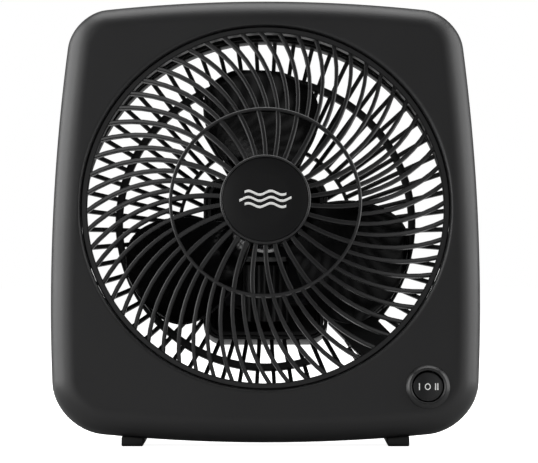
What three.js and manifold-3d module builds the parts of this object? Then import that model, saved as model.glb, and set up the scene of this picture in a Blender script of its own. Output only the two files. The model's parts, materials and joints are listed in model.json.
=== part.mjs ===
// Box fan: a leaning square table fan with a 7 inch impeller behind a spiral grille.
//
// Millimetres, +Z up. The fan looks towards -Y and leans back on two foot bars. Nearly everything is drawn
// in the fan's own upright frame, x to the right, y from the front face to the rear, z up from the impeller
// axis, and one group then leans it back. The origin is the middle of the finished part's floor outline.

import * as THREE from 'three';
import { mergeVertices } from 'three/addons/utils/BufferGeometryUtils.js';
import Module from 'manifold-3d';

// ---------------------------------------------------------------- driving dimensions

const LEAN = 10.5;             // degrees the casing leans back
const GAP = 0.3;               // air left between pieces that touch
const RUN = 0.1;               // radial running clearance of a shaft in its bush
const ROUND = 60;              // facets round the large circles
const FINE = 16;               // facets round the small ones

const CASE = {
  halfWidth: 125, widest: -48.6,           // half the width, and the height where it is widest
  top: 125.4, bottom: -136.7,
  sideArc: 1360, topArc: 1025, bottomArc: 1000,
  cornerTop: 28, cornerBottom: 33.7,
  depth: 50, split: 34,                    // rear face, and the joint between the two shells
  frontEdge: 14.4, rearEdge: 6,            // edge roundings
  wall: 2.2,
  sideDraft: 6.5, topDraft: 6,             // degrees; the underside's draft is the lean, so it lies level
};
const FRONT_OPENING = { play: 0.8, lip: 2.6, collar: 12 };
const REAR_OPENING = { radius: 109, collar: 12 };

const GRILLE = {
  rimInner: 103.8, rimWidth: 3, rimFront: 2, rimDepth: 7, ribSet: 0.5,
  midRadius: 54.9, midWidth: 1.9, midProud: 0.4,
  hubRadius: 26.2, hubDepth: 8, hubLead: 2, hubLip: 1.3, hubWall: 2,
  badgeRecess: 1.4, badgeCrown: 0.4,
  ribs: 30, ribWidth: 2.8, ribDepth: 4.6,
  dome: 20, domePower: 2.2,                // how far the ribs stand forward at the middle, and its curve
  sweep: 19.3, sweepPower: 1.465,          // degrees a rib curves back by the rim, and how late it curves
};

const GUARD = {
  rimInner: 105.5, rimDepth: 9, rimSet: 1.5, proud: 0.6,
  rings: [                                 // radius, width and depth of the rings, from the outside
    { radius: 87, width: 4.4, y: 52 },
    { radius: 51.5, width: 2, y: 69 },
  ],
  bars: 60, barWidth: 2.4, barDepth: 4, innerEvery: 2,
  frame: 2.2, frameDepth: 22,
};

const PAN = { halfWidth: 34.5, top: 25.5, bottom: -67, corner: 9, front: 58, wall: 2, clear: 0.9 };
const VENT = { count: 6, pitch: 6.5, start: 12, halfWidth: 16, height: 2.6 };

const DUCT = { angle: 139, width: 22, depth: 8, wall: 1.6, inner: 50, innerY: 68.5, outer: 113, outerY: 42 };

const BLADE = {
  count: 3, first: -4, thickness: 2, middle: 31, camber: 3,
  // radius, angles of the forward and the rear edge from the blade's middle, and depth along the axis
  rows: [
    [18.5, -31, 24, 22],
    [30, -34, 32, 25],
    [45, -35, 36, 27],
    [60, -31.5, 35, 27],
    [72, -27, 31, 25],
    [80, -22.5, 26.5, 22],
    [85.5, -17, 21, 18],
    [88.5, -8, 11, 11],
  ],
  columns: 6,
};
const HUB = { radius: 20, front: 14, rear: 44, wall: 2, boss: 6.5, bossRear: 40 };

const SHAFT = { radius: 2.5, short: 0.6 };
const CORE = {
  halfWidth: 24, top: 20, bottom: -48, front: 66, stack: 16, bore: 12.7, airGap: 0.4,
  windowHalf: 14, windowTop: -18.5, windowBottom: -37, screwX: 18.5, screw: 1.6,
};
const COIL = { build: 11, bobbin: 0.8, flange: 1.2, halfLength: 13.4 };
const SHADE = { angle: 46, half: 3.6, band: 1.5, reach: 17.2, set: 0.6 };
const BRACKET = { height: 16, plate: 2, stand: 5, housing: 8, boss: 4.5, bush: 5, bushLength: 5.8 };

const SWITCH = {
  x: 93.7, z: -106.3, bezelRise: 2.4, depth: 17,
  rocker: 8.55, rockerRise: 1.6, dish: 0.9, dishRadius: 40, pivot: 3.2, trunnion: 1.2,
  swing: 0.8, wall: 0.65, flange: 2.9, fit: 0.4,       // outwards from the rocker to the panel hole
};
const TERMINAL = { count: 3, pitch: 5.5, length: 8, height: 6, thickness: 0.8 };

const FOOT = {
  x: 77, width: 12.5, drop: 2.3, front: -12, rear: 84, heel: 11, corner: 2.5, screwY: 0, sink: 0.8,
};
const CASE_SCREWS = [[98, 92], [-98, 92], [72, -112], [-72, -112]];
const SCREW = { head: 3.2, headHeight: 1.8, shank: 1.3, length: 12, boss: 4.2 };
const GLAND = { x: 45, z: -111, bore: 4, body: 5.6, flange: 7.2, rise: 2.5, tail: 5, leadSet: 2.5 };
const LEAD = { radius: 1, sides: 6, steps: 12, spacing: 5 };

// ---------------------------------------------------------------- materials

const plastic = (color, roughness) => new THREE.MeshStandardMaterial({ color, roughness, metalness: 0 });
const metal = (color, roughness) => new THREE.MeshStandardMaterial({ color, roughness, metalness: 1 });
const satinBlack = plastic(0x2a2a2c, 0.45);
const grilleBlack = plastic(0x303033, 0.4);
const glossBlack = plastic(0x0b0b0d, 0.15);
const guardBlack = plastic(0x161617, 0.5);
const nylonBlack = plastic(0x1a1a1c, 0.35);
const rubber = plastic(0x111112, 0.8);
const coilTape = plastic(0x131315, 0.55);
const wireBlack = plastic(0x151516, 0.5);
const steel = metal(0x9a9a9c, 0.35);
const laminations = metal(0x333335, 0.5);
const copper = metal(0xb86b3c, 0.35);
const bronze = metal(0xa07a48, 0.5);
const aluminium = metal(0xb9bbbe, 0.4);
const brass = metal(0xc9a551, 0.35);

// ---------------------------------------------------------------- solids

const wasm = await Module();
wasm.setup();

const radians = THREE.MathUtils.degToRad;
const TURN = 2 * Math.PI;

// Turns the faces of a closed mesh outwards and leaves only its merged positions.
function solid(geometry) {
  geometry.deleteAttribute('normal');
  geometry.deleteAttribute('uv');
  const merged = mergeVertices(geometry, 1e-4);
  const p = merged.attributes.position;
  const index = Array.from(merged.index.array);
  const [a, b, c] = [new THREE.Vector3(), new THREE.Vector3(), new THREE.Vector3()];
  const triangles = [];
  let volume = 0;
  for (let i = 0; i < index.length; i += 3) {
    const corner = index.slice(i, i + 3);
    if (new Set(corner).size < 3) continue;
    a.fromBufferAttribute(p, corner[0]);
    b.fromBufferAttribute(p, corner[1]);
    c.fromBufferAttribute(p, corner[2]);
    volume += a.dot(b.cross(c));
    triangles.push(...corner);
  }
  if (volume < 0) triangles.reverse();
  merged.setIndex(triangles);
  return merged;
}

function toManifold(geometry) {
  const closed = solid(geometry);
  return new wasm.Manifold(new wasm.Mesh({
    numProp: 3,
    vertProperties: new Float32Array(closed.attributes.position.array),
    triVerts: new Uint32Array(closed.index.array),
  }));
}

function toGeometry(manifold) {
  const mesh = manifold.getMesh();
  const geometry = new THREE.BufferGeometry();
  geometry.setAttribute('position', new THREE.BufferAttribute(new Float32Array(mesh.vertProperties), 3));
  geometry.setIndex(Array.from(mesh.triVerts));
  return geometry;
}

const join = (...shapes) => toGeometry(shapes.map(toManifold).reduce((whole, next) => whole.add(next)));
const cut = (shape, ...tools) => toGeometry(
  tools.map(toManifold).reduce((whole, tool) => whole.subtract(tool), toManifold(shape)));

// A ring or disc about the fan axis. The profile holds [radius, y] pairs, closed on itself or on the axis.
// Its facets meet at the clock angle start, so a bar halfway between two joints ends on one flat facet.
function turned(profile, segments = FINE, start = 0) {
  const points = profile.map(([r, y]) => new THREE.Vector2(r, y));
  if (profile[0][0] > 0) points.push(points[0].clone());
  return new THREE.LatheGeometry(points, segments, radians(start));
}

const tube = (inner, outer, y0, y1, segments = FINE, start = 0) =>
  turned([[inner, y0], [outer, y0], [outer, y1], [inner, y1]], segments, start);
const rod = (radius, y0, y1, segments = FINE) =>
  turned([[0, y0], [radius, y0], [radius, y1], [0, y1]], segments);

const block = (x0, x1, y0, y1, z0, z1) =>
  new THREE.BoxGeometry(x1 - x0, y1 - y0, z1 - z0).translate((x0 + x1) / 2, (y0 + y1) / 2, (z0 + z1) / 2);

// A flat outline in x and z, thickened from y0 to y1.
function slab(shape, y0, y1, curveSegments = 4) {
  const geometry = new THREE.ExtrudeGeometry(shape, { depth: y1 - y0, bevelEnabled: false, curveSegments });
  return geometry.rotateX(Math.PI / 2).translate(0, y1, 0);
}

function roundedBox(halfWidth, bottom, top, radius) {
  const shape = new THREE.Shape();
  shape.absarc(halfWidth - radius, top - radius, radius, Math.PI / 2, 0, true);
  shape.absarc(halfWidth - radius, bottom + radius, radius, 0, -Math.PI / 2, true);
  shape.absarc(-halfWidth + radius, bottom + radius, radius, -Math.PI / 2, -Math.PI, true);
  shape.absarc(-halfWidth + radius, top - radius, radius, Math.PI, Math.PI / 2, true);
  return shape;
}

// Joins closed loops of points, the last back to the first, into one ring-shaped solid.
function ringOfLoops(loops) {
  const count = loops[0].length;
  const geometry = new THREE.BufferGeometry().setFromPoints(loops.flat());
  const index = [];
  loops.forEach((_, j) => {
    const next = (j + 1) % loops.length;
    for (let i = 0; i < count; i++) {
      const after = (i + 1) % count;
      const [a, b] = [j * count + i, j * count + after];
      const [c, d] = [next * count + i, next * count + after];
      index.push(a, b, d, a, d, c);
    }
  });
  geometry.setIndex(index);
  return geometry;
}

// A point at a clock angle, in degrees clockwise from the top as seen from the front.
const clock = (radius, degrees) =>
  [radius * Math.sin(radians(degrees)), radius * Math.cos(radians(degrees))];

// ---------------------------------------------------------------- assembly

const fan = new THREE.Group();
fan.rotation.x = -radians(LEAN);
const object = new THREE.Group();
object.add(fan);

function add(name, geometry, material, place = [0, 0, 0], parent = fan) {
  const mesh = new THREE.Mesh(solid(geometry), material);
  mesh.name = name;
  mesh.position.set(...place);
  parent.add(mesh);
}

// ---------------------------------------------------------------- casing outline

const STEPS = { topHalf: 4, corner: 4, side: 8, bottomHalf: 4 };

// Where the arc that rounds a corner has its centre: inside both large arcs by its own radius.
function cornerCentre(a, reachA, b, reachB, upper) {
  const distance = a.distanceTo(b);
  const along = (reachA ** 2 - reachB ** 2 + distance ** 2) / (2 * distance);
  const across = Math.sqrt(reachA ** 2 - along ** 2);
  const direction = b.clone().sub(a).divideScalar(distance);
  const foot = a.clone().addScaledVector(direction, along);
  const square = new THREE.Vector2(-direction.y, direction.x);
  const sides = [1, -1].map((sign) => foot.clone().addScaledVector(square, sign * across));
  return sides.find((point) => point.x > 0 && (point.y > CASE.widest) === upper);
}

function arcPoints(centre, radius, from, to, steps) {
  return Array.from({ length: steps }, (_, i) => {
    const angle = from + ((to - from) * i) / steps;
    return new THREE.Vector2(centre.x + radius * Math.cos(angle), centre.y + radius * Math.sin(angle));
  });
}

// The casing's outline at depth y, moved inwards by inset: bowed sides, joined by rounded corners.
function caseLoop(y, inset) {
  const behind = Math.max(y - CASE.frontEdge, 0);
  const draft = (degrees) => behind * Math.tan(radians(degrees));
  const side = new THREE.Vector2(CASE.halfWidth - draft(CASE.sideDraft) - CASE.sideArc, CASE.widest);
  const top = new THREE.Vector2(0, CASE.top - draft(CASE.topDraft) - CASE.topArc);
  const bottom = new THREE.Vector2(0, CASE.bottom + draft(LEAN) + CASE.bottomArc);
  const upper = cornerCentre(side, CASE.sideArc - CASE.cornerTop, top, CASE.topArc - CASE.cornerTop, true);
  const lower = cornerCentre(
    side, CASE.sideArc - CASE.cornerBottom, bottom, CASE.bottomArc - CASE.cornerBottom, false);
  const angle = (from, to) => Math.atan2(to.y - from.y, to.x - from.x);
  const [topEnd, sideStart] = [angle(top, upper), angle(side, upper)];
  const [sideEnd, bottomStart] = [angle(side, lower), angle(bottom, lower)];
  const half = [
    ...arcPoints(top, CASE.topArc - inset, Math.PI / 2, topEnd, STEPS.topHalf),
    ...arcPoints(upper, CASE.cornerTop - inset, topEnd, sideStart, STEPS.corner),
    ...arcPoints(side, CASE.sideArc - inset, sideStart, sideEnd, STEPS.side),
    ...arcPoints(lower, CASE.cornerBottom - inset, sideEnd, bottomStart, STEPS.corner),
    ...arcPoints(bottom, CASE.bottomArc - inset, bottomStart, -Math.PI / 2, STEPS.bottomHalf),
    new THREE.Vector2(0, bottom.y - CASE.bottomArc + inset),
  ];
  const mirrored = half.slice(1, -1).reverse().map((p) => new THREE.Vector2(-p.x, p.y));
  return [...half, ...mirrored].map((p) => new THREE.Vector3(p.x, y, p.y));
}

// A circle about the fan axis whose points lie in the same directions as those of the outline.
function circleLoop(radius, y) {
  return caseLoop(y, 0).map((p) => {
    const scale = radius / Math.hypot(p.x, p.z);
    return new THREE.Vector3(p.x * scale, y, p.z * scale);
  });
}

const quarter = (steps) => Array.from({ length: steps }, (_, i) => (Math.PI / 2) * ((i + 1) / steps));
const underside = (x) => CASE.bottom + CASE.bottomArc - Math.sqrt(CASE.bottomArc ** 2 - x ** 2);

// ---------------------------------------------------------------- front shell

const bossEnd = CASE.depth - CASE.wall - GAP;
const frontRadius = GRILLE.rimInner + GRILLE.rimWidth + FRONT_OPENING.play;

// The switch, outwards from its rocker.
const wellRadius = SWITCH.rocker + SWITCH.swing;
const barrelRadius = wellRadius + SWITCH.wall;
const bezelRadius = barrelRadius + SWITCH.flange;

// The underside is level once the fan leans; this is its height below the impeller axis at a given x.
const level = (x) => underside(x) * Math.cos(radians(LEAN)) - CASE.frontEdge * Math.sin(radians(LEAN));

function frontShell() {
  const { frontEdge: edge, wall, split } = CASE;
  const { lip, collar } = FRONT_OPENING;
  const radius = frontRadius;
  const skin = ringOfLoops([
    caseLoop(split, 0),
    caseLoop(edge, 0),
    ...quarter(4).map((a) => caseLoop(edge * (1 - Math.sin(a)), edge * (1 - Math.cos(a)))),
    circleLoop(radius + lip, 0),
    ...quarter(2).map((a) => circleLoop(radius + lip * (1 - Math.sin(a)), lip * (1 - Math.cos(a)))),
    circleLoop(radius, collar),
    circleLoop(radius + wall, collar),
    circleLoop(radius + wall + lip, wall),
    ...quarter(2).reverse().map((a) =>
      caseLoop(edge - (edge - wall) * Math.sin(a), edge - (edge - wall) * Math.cos(a))),
    caseLoop(edge, wall),
    caseLoop(split, wall),
  ]);
  const bosses = CASE_SCREWS.map(([x, z]) => rod(SCREW.boss, wall / 2, bossEnd, 12).translate(x, 0, z));
  const bores = CASE_SCREWS.map(([x, z]) =>
    rod(SCREW.shank + GAP, bossEnd - SCREW.length, bossEnd + 1, 12).translate(x, 0, z));
  const switchHole = rod(barrelRadius + SWITCH.fit, -1, wall + 1, 36).translate(SWITCH.x, 0, SWITCH.z);
  return cut(join(skin, ...bosses), ...bores, switchHole, ...footScrewHoles());
}

// The foot screws stand upright in the room, so their holes are placed upright and turned into the fan's frame.
function footScrewHoles() {
  return [1, -1].map((side) =>
    new THREE.CylinderGeometry(SCREW.shank + GAP, SCREW.shank + GAP, 8, 12)
      .rotateX(Math.PI / 2)
      .translate(side * FOOT.x, FOOT.screwY, level(FOOT.x) + CASE.wall)
      .rotateX(radians(LEAN)));
}

add('front_shell', frontShell(), satinBlack);

// ---------------------------------------------------------------- where the motor reaches

const coreRear = CORE.front + CORE.stack;
const frontPlate = CORE.front - GAP - BRACKET.stand;
const bushFront = frontPlate - BRACKET.bushLength + 1;
const pocketRear = CORE.front + coreRear - (bushFront - 1);

// Half the section of the core's lower bar, its middle, and the bobbin's flange round it.
const barHalf = { y: CORE.stack / 2, z: (CORE.windowBottom - CORE.bottom) / 2 };
const barMiddle = { y: (CORE.front + coreRear) / 2, z: (CORE.windowBottom + CORE.bottom) / 2 };
const flangeGrow = GAP + COIL.bobbin + COIL.build;

// The housing's back closes behind whichever reaches further, the rear bracket's pocket or the coil's flange.
const panRear = Math.max(pocketRear, barMiddle.y + barHalf.y + flangeGrow) + PAN.clear + PAN.wall;

// ---------------------------------------------------------------- rear shell

// The motor housing's outline, grown by a margin.
const panOutline = (margin) =>
  roundedBox(PAN.halfWidth + margin, PAN.bottom - margin, PAN.top + margin, PAN.corner + margin);

// The duct's outline as a sloping bar, larger by a margin, longer at both ends and deeper on both faces.
function ductBar(margin, longer, deeper = 0) {
  const [rise, run] = [DUCT.outerY - DUCT.innerY, DUCT.outer - DUCT.inner];
  const length = Math.hypot(rise, run) + 2 * longer;
  const bar = new THREE.BoxGeometry(DUCT.width + 2 * margin, DUCT.depth + 2 * (margin + deeper), length);
  return bar.rotateX(-Math.atan2(rise, run))
    .translate(0, (DUCT.innerY + DUCT.outerY) / 2, (DUCT.inner + DUCT.outer) / 2)
    .rotateY(radians(DUCT.angle));
}

function rearShell() {
  const { depth, rearEdge: edge, wall, split } = CASE;
  const { radius, collar } = REAR_OPENING;
  const skin = ringOfLoops([
    caseLoop(split + GAP, 0),
    caseLoop(depth - edge, 0),
    ...quarter(3).map((a) => caseLoop(depth - edge * (1 - Math.sin(a)), edge * (1 - Math.cos(a)))),
    circleLoop(radius, depth),
    circleLoop(radius, depth - collar),
    circleLoop(radius + wall, depth - collar),
    circleLoop(radius + wall, depth - wall),
    caseLoop(depth - wall, edge),
    caseLoop(depth - edge, wall),
    caseLoop(split + GAP, wall),
  ]);
  const through = (bore, x, z, steps) => rod(bore, depth - 2 * wall, depth + 1, steps).translate(x, 0, z);
  const holes = CASE_SCREWS.map(([x, z]) => through(SCREW.shank + GAP, x, z, 12));
  const glandHole = through(GLAND.body + GAP, GLAND.x, GLAND.z, FINE);
  return cut(skin, ...holes, glandHole, ductBar(GAP, 0));
}

add('rear_shell', rearShell(), satinBlack);

// ---------------------------------------------------------------- front grille

const hubFront = GRILLE.rimFront - GRILLE.dome - GRILLE.hubLead;
const badgeSeat = GRILLE.hubRadius - GRILLE.hubLip;
const domeY = (r) =>
  GRILLE.rimFront + GRILLE.ribSet - GRILLE.dome * (1 - (r / GRILLE.rimInner) ** GRILLE.domePower);

function sweep(r) {
  const share = Math.max(r - GRILLE.hubRadius, 0) / (GRILLE.rimInner - GRILLE.hubRadius);
  return -GRILLE.sweep * share ** GRILLE.sweepPower;
}

// One rib: a curved strip seen from the front, as deep as the rib, bent forwards over the dome.
function rib(angle, inner, outer, steps) {
  const centreLine = Array.from({ length: steps + 1 }, (_, i) => {
    const r = inner + ((outer - inner) * i) / steps;
    return new THREE.Vector2(...clock(r, angle + sweep(r)));
  });
  const edge = (side) => centreLine.map((p, i) => {
    const along = centreLine[Math.min(i + 1, steps)].clone().sub(centreLine[Math.max(i - 1, 0)]).normalize();
    return p.clone().addScaledVector(new THREE.Vector2(-along.y, along.x), side * GRILLE.ribWidth / 2);
  });
  const strip = slab(new THREE.Shape([...edge(1), ...edge(-1).reverse()]), 0, GRILLE.ribDepth);
  const p = strip.attributes.position;
  for (let i = 0; i < p.count; i++) p.setY(i, p.getY(i) + domeY(Math.hypot(p.getX(i), p.getZ(i))));
  return strip;
}

function frontGrille() {
  const { rimInner, rimWidth, rimFront, rimDepth, ribs, ribDepth } = GRILLE;
  const { midRadius, midWidth, midProud, hubRadius, hubDepth, hubWall, badgeRecess } = GRILLE;
  const facet = 180 / ROUND;
  const rimOuter = rimInner + rimWidth;
  const rim = tube(rimInner, rimOuter, rimFront, rimFront + rimDepth, ROUND, sweep(rimInner) + facet);
  const midFront = domeY(midRadius) - midProud;
  const midRear = midFront + ribDepth + 2 * midProud;
  const mid = tube(midRadius - midWidth / 2, midRadius + midWidth / 2, midFront, midRear,
    ROUND, sweep(midRadius) + facet);
  const seat = hubFront + badgeRecess;
  const hub = turned([
    [0, seat], [badgeSeat, seat], [badgeSeat, hubFront], [hubRadius - 0.3, hubFront],
    [hubRadius, hubFront + 0.5], [hubRadius, hubFront + hubDepth], [hubRadius - hubWall, hubFront + hubDepth],
    [hubRadius - hubWall, seat + hubWall], [0, seat + hubWall],
  ], ribs, 180 / ribs);
  const step = 360 / ribs;
  const inner = Array.from({ length: ribs }, (_, i) => rib(i * step, hubRadius - 1, midRadius, 3));
  const outer = Array.from({ length: 2 * ribs }, (_, i) => rib((i * step) / 2, midRadius, rimInner + 1, 3));
  return join(rim, mid, hub, ...inner, ...outer);
}

add('front_grille', frontGrille(), grilleBlack);

function badge() {
  const { badgeRecess, badgeCrown, ribs } = GRILLE;
  const rim = badgeSeat - GAP;
  const back = hubFront + badgeRecess - GAP;
  return turned([
    [0, hubFront - badgeCrown], [rim * 0.6, hubFront - badgeCrown / 2], [rim, hubFront + 0.5],
    [rim, back], [0, back],
  ], ribs, 180 / ribs);
}

add('hub_badge', badge(), glossBlack);

// ---------------------------------------------------------------- rear grille

const collarFront = CASE.depth - REAR_OPENING.collar;
const guardFront = collarFront + GUARD.rimSet;

// The largest circle that the flat facets of the rear opening leave clear.
const rearClear = Math.min(...circleLoop(REAR_OPENING.radius, collarFront).map((point, i, loop) => {
  const middle = point.clone().lerp(loop[(i + 1) % loop.length], 0.5);
  return Math.hypot(middle.x, middle.z);
}));

// The bars' depth at a radius, in straight runs from the rim over the rings.
function guardY(r) {
  const [outer, inner] = GUARD.rings;
  const rim = { radius: GUARD.rimInner + 2, y: guardFront + GUARD.barDepth };
  const [a, b] = r > outer.radius ? [rim, outer] : [outer, inner];
  return a.y + ((r - a.radius) * (b.y - a.y)) / (b.radius - a.radius);
}

// A radial bar between two radii.
function bar(angle, radii) {
  const front = radii.map((r) => new THREE.Vector2(r, guardY(r)));
  const rear = front.map((p) => new THREE.Vector2(p.x, p.y + GUARD.barDepth)).reverse();
  const side = new THREE.ExtrudeGeometry(new THREE.Shape([...front, ...rear]), {
    depth: GUARD.barWidth, bevelEnabled: false,
  });
  return side.translate(0, 0, -GUARD.barWidth / 2).rotateY(-Math.PI / 2).rotateY(radians(angle));
}

function rearGrille() {
  const { bars, rings, rimInner, rimDepth, barDepth, proud, frame, frameDepth, innerEvery } = GUARD;
  const [thick, thin] = rings;
  const hoops = rings.map(({ radius, width, y }) =>
    tube(radius - width / 2, radius + width / 2, y - proud, y + barDepth + proud, ROUND));
  const rim = tube(rimInner, rearClear - RUN, guardFront, guardFront + rimDepth, ROUND);
  const step = 360 / bars;
  const spans = [[rimInner + 1, thick.radius], [thick.radius, thin.radius]];
  const outer = spans.flatMap((span) => Array.from({ length: bars }, (_, i) => bar((i + 0.5) * step, span)));
  const inner = Array.from({ length: bars / innerEvery }, (_, i) =>
    bar((i * innerEvery + 0.5) * step, [thin.radius, PAN.halfWidth - 6]));
  const frameRing = slab(panOutline(GAP + frame), PAN.front, PAN.front + frameDepth);
  const clear = slab(panOutline(GAP), 0, panRear + 1);
  return cut(join(rim, ...hoops, ...outer, ...inner, frameRing), clear, ductBar(GAP, 20, 5));
}

add('rear_grille', rearGrille(), guardBlack);

// ---------------------------------------------------------------- motor housing

function motorHousing() {
  const { bottom, front, wall } = PAN;
  const rear = panRear;
  const shell = cut(slab(panOutline(0), front, rear), slab(panOutline(-wall), front - 1, rear - wall));
  const bosses = [1, -1].map((side) => rod(BRACKET.boss, rear - 2 * wall, rear - wall / 2, 12)
    .translate(side * CORE.screwX, 0, 0));
  const bores = [1, -1].map((side) => rod(CORE.screw + GAP, rear - 2 * wall - 1, rear + 1, 12)
    .translate(side * CORE.screwX, 0, 0));
  const slots = Array.from({ length: VENT.count }, (_, i) => {
    const z = bottom + VENT.start + i * VENT.pitch;
    return block(-VENT.halfWidth, VENT.halfWidth, rear - wall - 1, rear + 1, z, z + VENT.height);
  });
  const wireWay = ductBar(GAP, 12);
  return cut(join(shell, ...bosses), ...bores, ...slots, wireWay);
}

add('motor_housing', motorHousing(), guardBlack);

// ---------------------------------------------------------------- wire duct

function wireDuct() {
  const bore = new THREE.BoxGeometry(DUCT.width - 2 * DUCT.wall, DUCT.depth - 2 * DUCT.wall, 200)
    .rotateX(-Math.atan2(DUCT.outerY - DUCT.innerY, DUCT.outer - DUCT.inner))
    .translate(0, (DUCT.innerY + DUCT.outerY) / 2, (DUCT.inner + DUCT.outer) / 2)
    .rotateY(radians(DUCT.angle));
  const clear = slab(panOutline(2 * GAP + GUARD.frame), 0, panRear + 1);
  return cut(ductBar(0, 0), bore, clear);
}

add('wire_duct', wireDuct(), guardBlack);

// ---------------------------------------------------------------- impeller

// One paddle: rows of points from the hub to the tip, with a front and a rear face.
function blade(middleAngle) {
  const { rows, columns, thickness, middle, camber } = BLADE;
  const point = ([radius, forward, behind, depth], share, side) => {
    const [x, z] = clock(radius, middleAngle + forward + (behind - forward) * share);
    const bow = camber * 4 * share * (1 - share);
    return new THREE.Vector3(x, middle + (share - 0.5) * depth + bow + side * thickness / 2, z);
  };
  // each loop runs across the front face and back across the rear face of one row
  const across = Array.from({ length: columns }, (_, i) => i / (columns - 1));
  const loops = rows.map((row) => [
    ...across.map((share) => point(row, share, -1)),
    ...across.toReversed().map((share) => point(row, share, 1)),
  ]);
  return loft(loops);
}

// Joins closed loops of points in order and closes both ends, pairing the points of each end loop.
function loft(loops) {
  const count = loops[0].length;
  const geometry = new THREE.BufferGeometry().setFromPoints(loops.flat());
  const index = [];
  for (let j = 0; j + 1 < loops.length; j++) {
    for (let i = 0; i < count; i++) {
      const after = (i + 1) % count;
      const [a, b, c, d] = [j * count + i, j * count + after, (j + 1) * count + i, (j + 1) * count + after];
      index.push(a, b, d, a, d, c);
    }
  }
  const last = (loops.length - 1) * count;
  for (let i = 0; i + 1 < count / 2; i++) {
    const [a, b, c, d] = [i, i + 1, count - 1 - i, count - 2 - i];
    index.push(a, d, b, a, c, d);
    index.push(last + a, last + b, last + d, last + a, last + d, last + c);
  }
  geometry.setIndex(index);
  return geometry;
}

const shaftBore = SHAFT.radius + GAP;

function impeller() {
  const { radius, front, rear, wall, boss, bossRear } = HUB;
  const hub = turned([
    [0, front - 1.5], [radius * 0.6, front - 1], [radius * 0.9, front + 1], [radius, front + 3.5],
    [radius, rear], [radius - wall, rear], [radius - wall, front + 4], [boss, front + 2.5], [boss, bossRear],
    [shaftBore, bossRear], [shaftBore, front + 4], [0, front + 4],
  ], FINE);
  const blades = Array.from({ length: BLADE.count }, (_, i) => blade(BLADE.first + (i * 360) / BLADE.count));
  const inside = tube(boss - 1, radius - wall / 2, front + 4, rear + 1);
  return join(hub, ...blades.map((paddle) => cut(paddle, inside)));
}

add('impeller', impeller(), glossBlack);
add('impeller_clip', tube(HUB.boss + GAP, HUB.boss + 1.2, HUB.bossRear - 5, HUB.bossRear - 2), steel);

// ---------------------------------------------------------------- motor

const rotorFront = CORE.front - 1;
const rotorRear = coreRear + 1;
const rearPlate = coreRear + GAP + BRACKET.stand;

add('motor_shaft', rod(SHAFT.radius, HUB.front + 4 + GAP, pocketRear - SHAFT.short), steel);
add('rotor_core', tube(shaftBore, CORE.bore - CORE.airGap, rotorFront, rotorRear, FINE), laminations);
add('thrust_washer_front', tube(shaftBore, 5, frontPlate + 2.2, frontPlate + 3), brass);
add('thrust_washer_rear', tube(shaftBore, 5, rearPlate - 3, rearPlate - 2.2), brass);

function shadeSlots(side) {
  const across = SHADE.half + SHADE.band / 2;
  return [1, -1].map((edge) => {
    const middle = edge * (across - SHADE.band / 2);
    const halfWidth = SHADE.band / 2 + GAP;
    const slot = block(middle - halfWidth, middle + halfWidth, CORE.front - 1, coreRear + 1,
      CORE.bore - 2, SHADE.reach + GAP);
    return slot.rotateY(radians(SHADE.angle + (side > 0 ? 0 : 180)));
  });
}

function statorCore() {
  const outline = new THREE.Shape();
  outline.moveTo(-CORE.halfWidth, CORE.bottom).lineTo(CORE.halfWidth, CORE.bottom)
    .lineTo(CORE.halfWidth, CORE.top).lineTo(-CORE.halfWidth, CORE.top).closePath();
  const stack = slab(outline, CORE.front, coreRear);
  const window = block(-CORE.windowHalf, CORE.windowHalf, CORE.front - 1, coreRear + 1,
    CORE.windowBottom, CORE.windowTop);
  const screws = [1, -1].map((side) =>
    rod(CORE.screw + GAP, CORE.front - 1, coreRear + 1, 12).translate(side * CORE.screwX, 0, 0));
  const bore = rod(CORE.bore, CORE.front - 1, coreRear + 1, 48);
  return cut(stack, window, bore, ...screws, ...shadeSlots(1), ...shadeSlots(-1));
}

add('stator_core', statorCore(), laminations);

// A closed copper band through two slots in one pole: seen from the pole's face it is a rectangle.
function shadingRing(side) {
  const halfLength = CORE.stack / 2 + GAP + SHADE.band;
  const middle = (CORE.front + coreRear) / 2;
  const inner = CORE.bore + SHADE.set;
  const outer = SHADE.reach;
  const half = SHADE.half + SHADE.band / 2;
  const whole = block(-half, half, middle - halfLength, middle + halfLength, inner, outer);
  const hole = block(-half + SHADE.band, half - SHADE.band, middle - halfLength + SHADE.band,
    middle + halfLength - SHADE.band, inner - 1, outer + 1);
  return cut(whole, hole).rotateY(radians(SHADE.angle + (side > 0 ? 0 : 180)));
}

add('shading_ring_1', shadingRing(1), copper);
add('shading_ring_2', shadingRing(-1), copper);

// The coil and its bobbin sit round the core's lower bar.
function aroundBar(halfLength, grow) {
  const y = barHalf.y + grow;
  const z = barHalf.z + grow;
  return block(-halfLength, halfLength, barMiddle.y - y, barMiddle.y + y, barMiddle.z - z, barMiddle.z + z);
}

function bobbin() {
  const outer = GAP + COIL.bobbin;
  const ends = [1, -1].map((side) =>
    aroundBar(COIL.flange / 2, flangeGrow).translate(side * (COIL.halfLength - COIL.flange / 2), 0, 0));
  return cut(join(aroundBar(COIL.halfLength, outer), ...ends), aroundBar(COIL.halfLength + 1, GAP));
}

function winding() {
  const half = COIL.halfLength - COIL.flange - GAP;
  const inner = 2 * GAP + COIL.bobbin;
  return cut(aroundBar(half, inner + COIL.build - 1), aroundBar(half + 1, inner));
}

add('coil_bobbin', bobbin(), nylonBlack);
add('coil_winding', winding(), coilTape);

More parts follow.
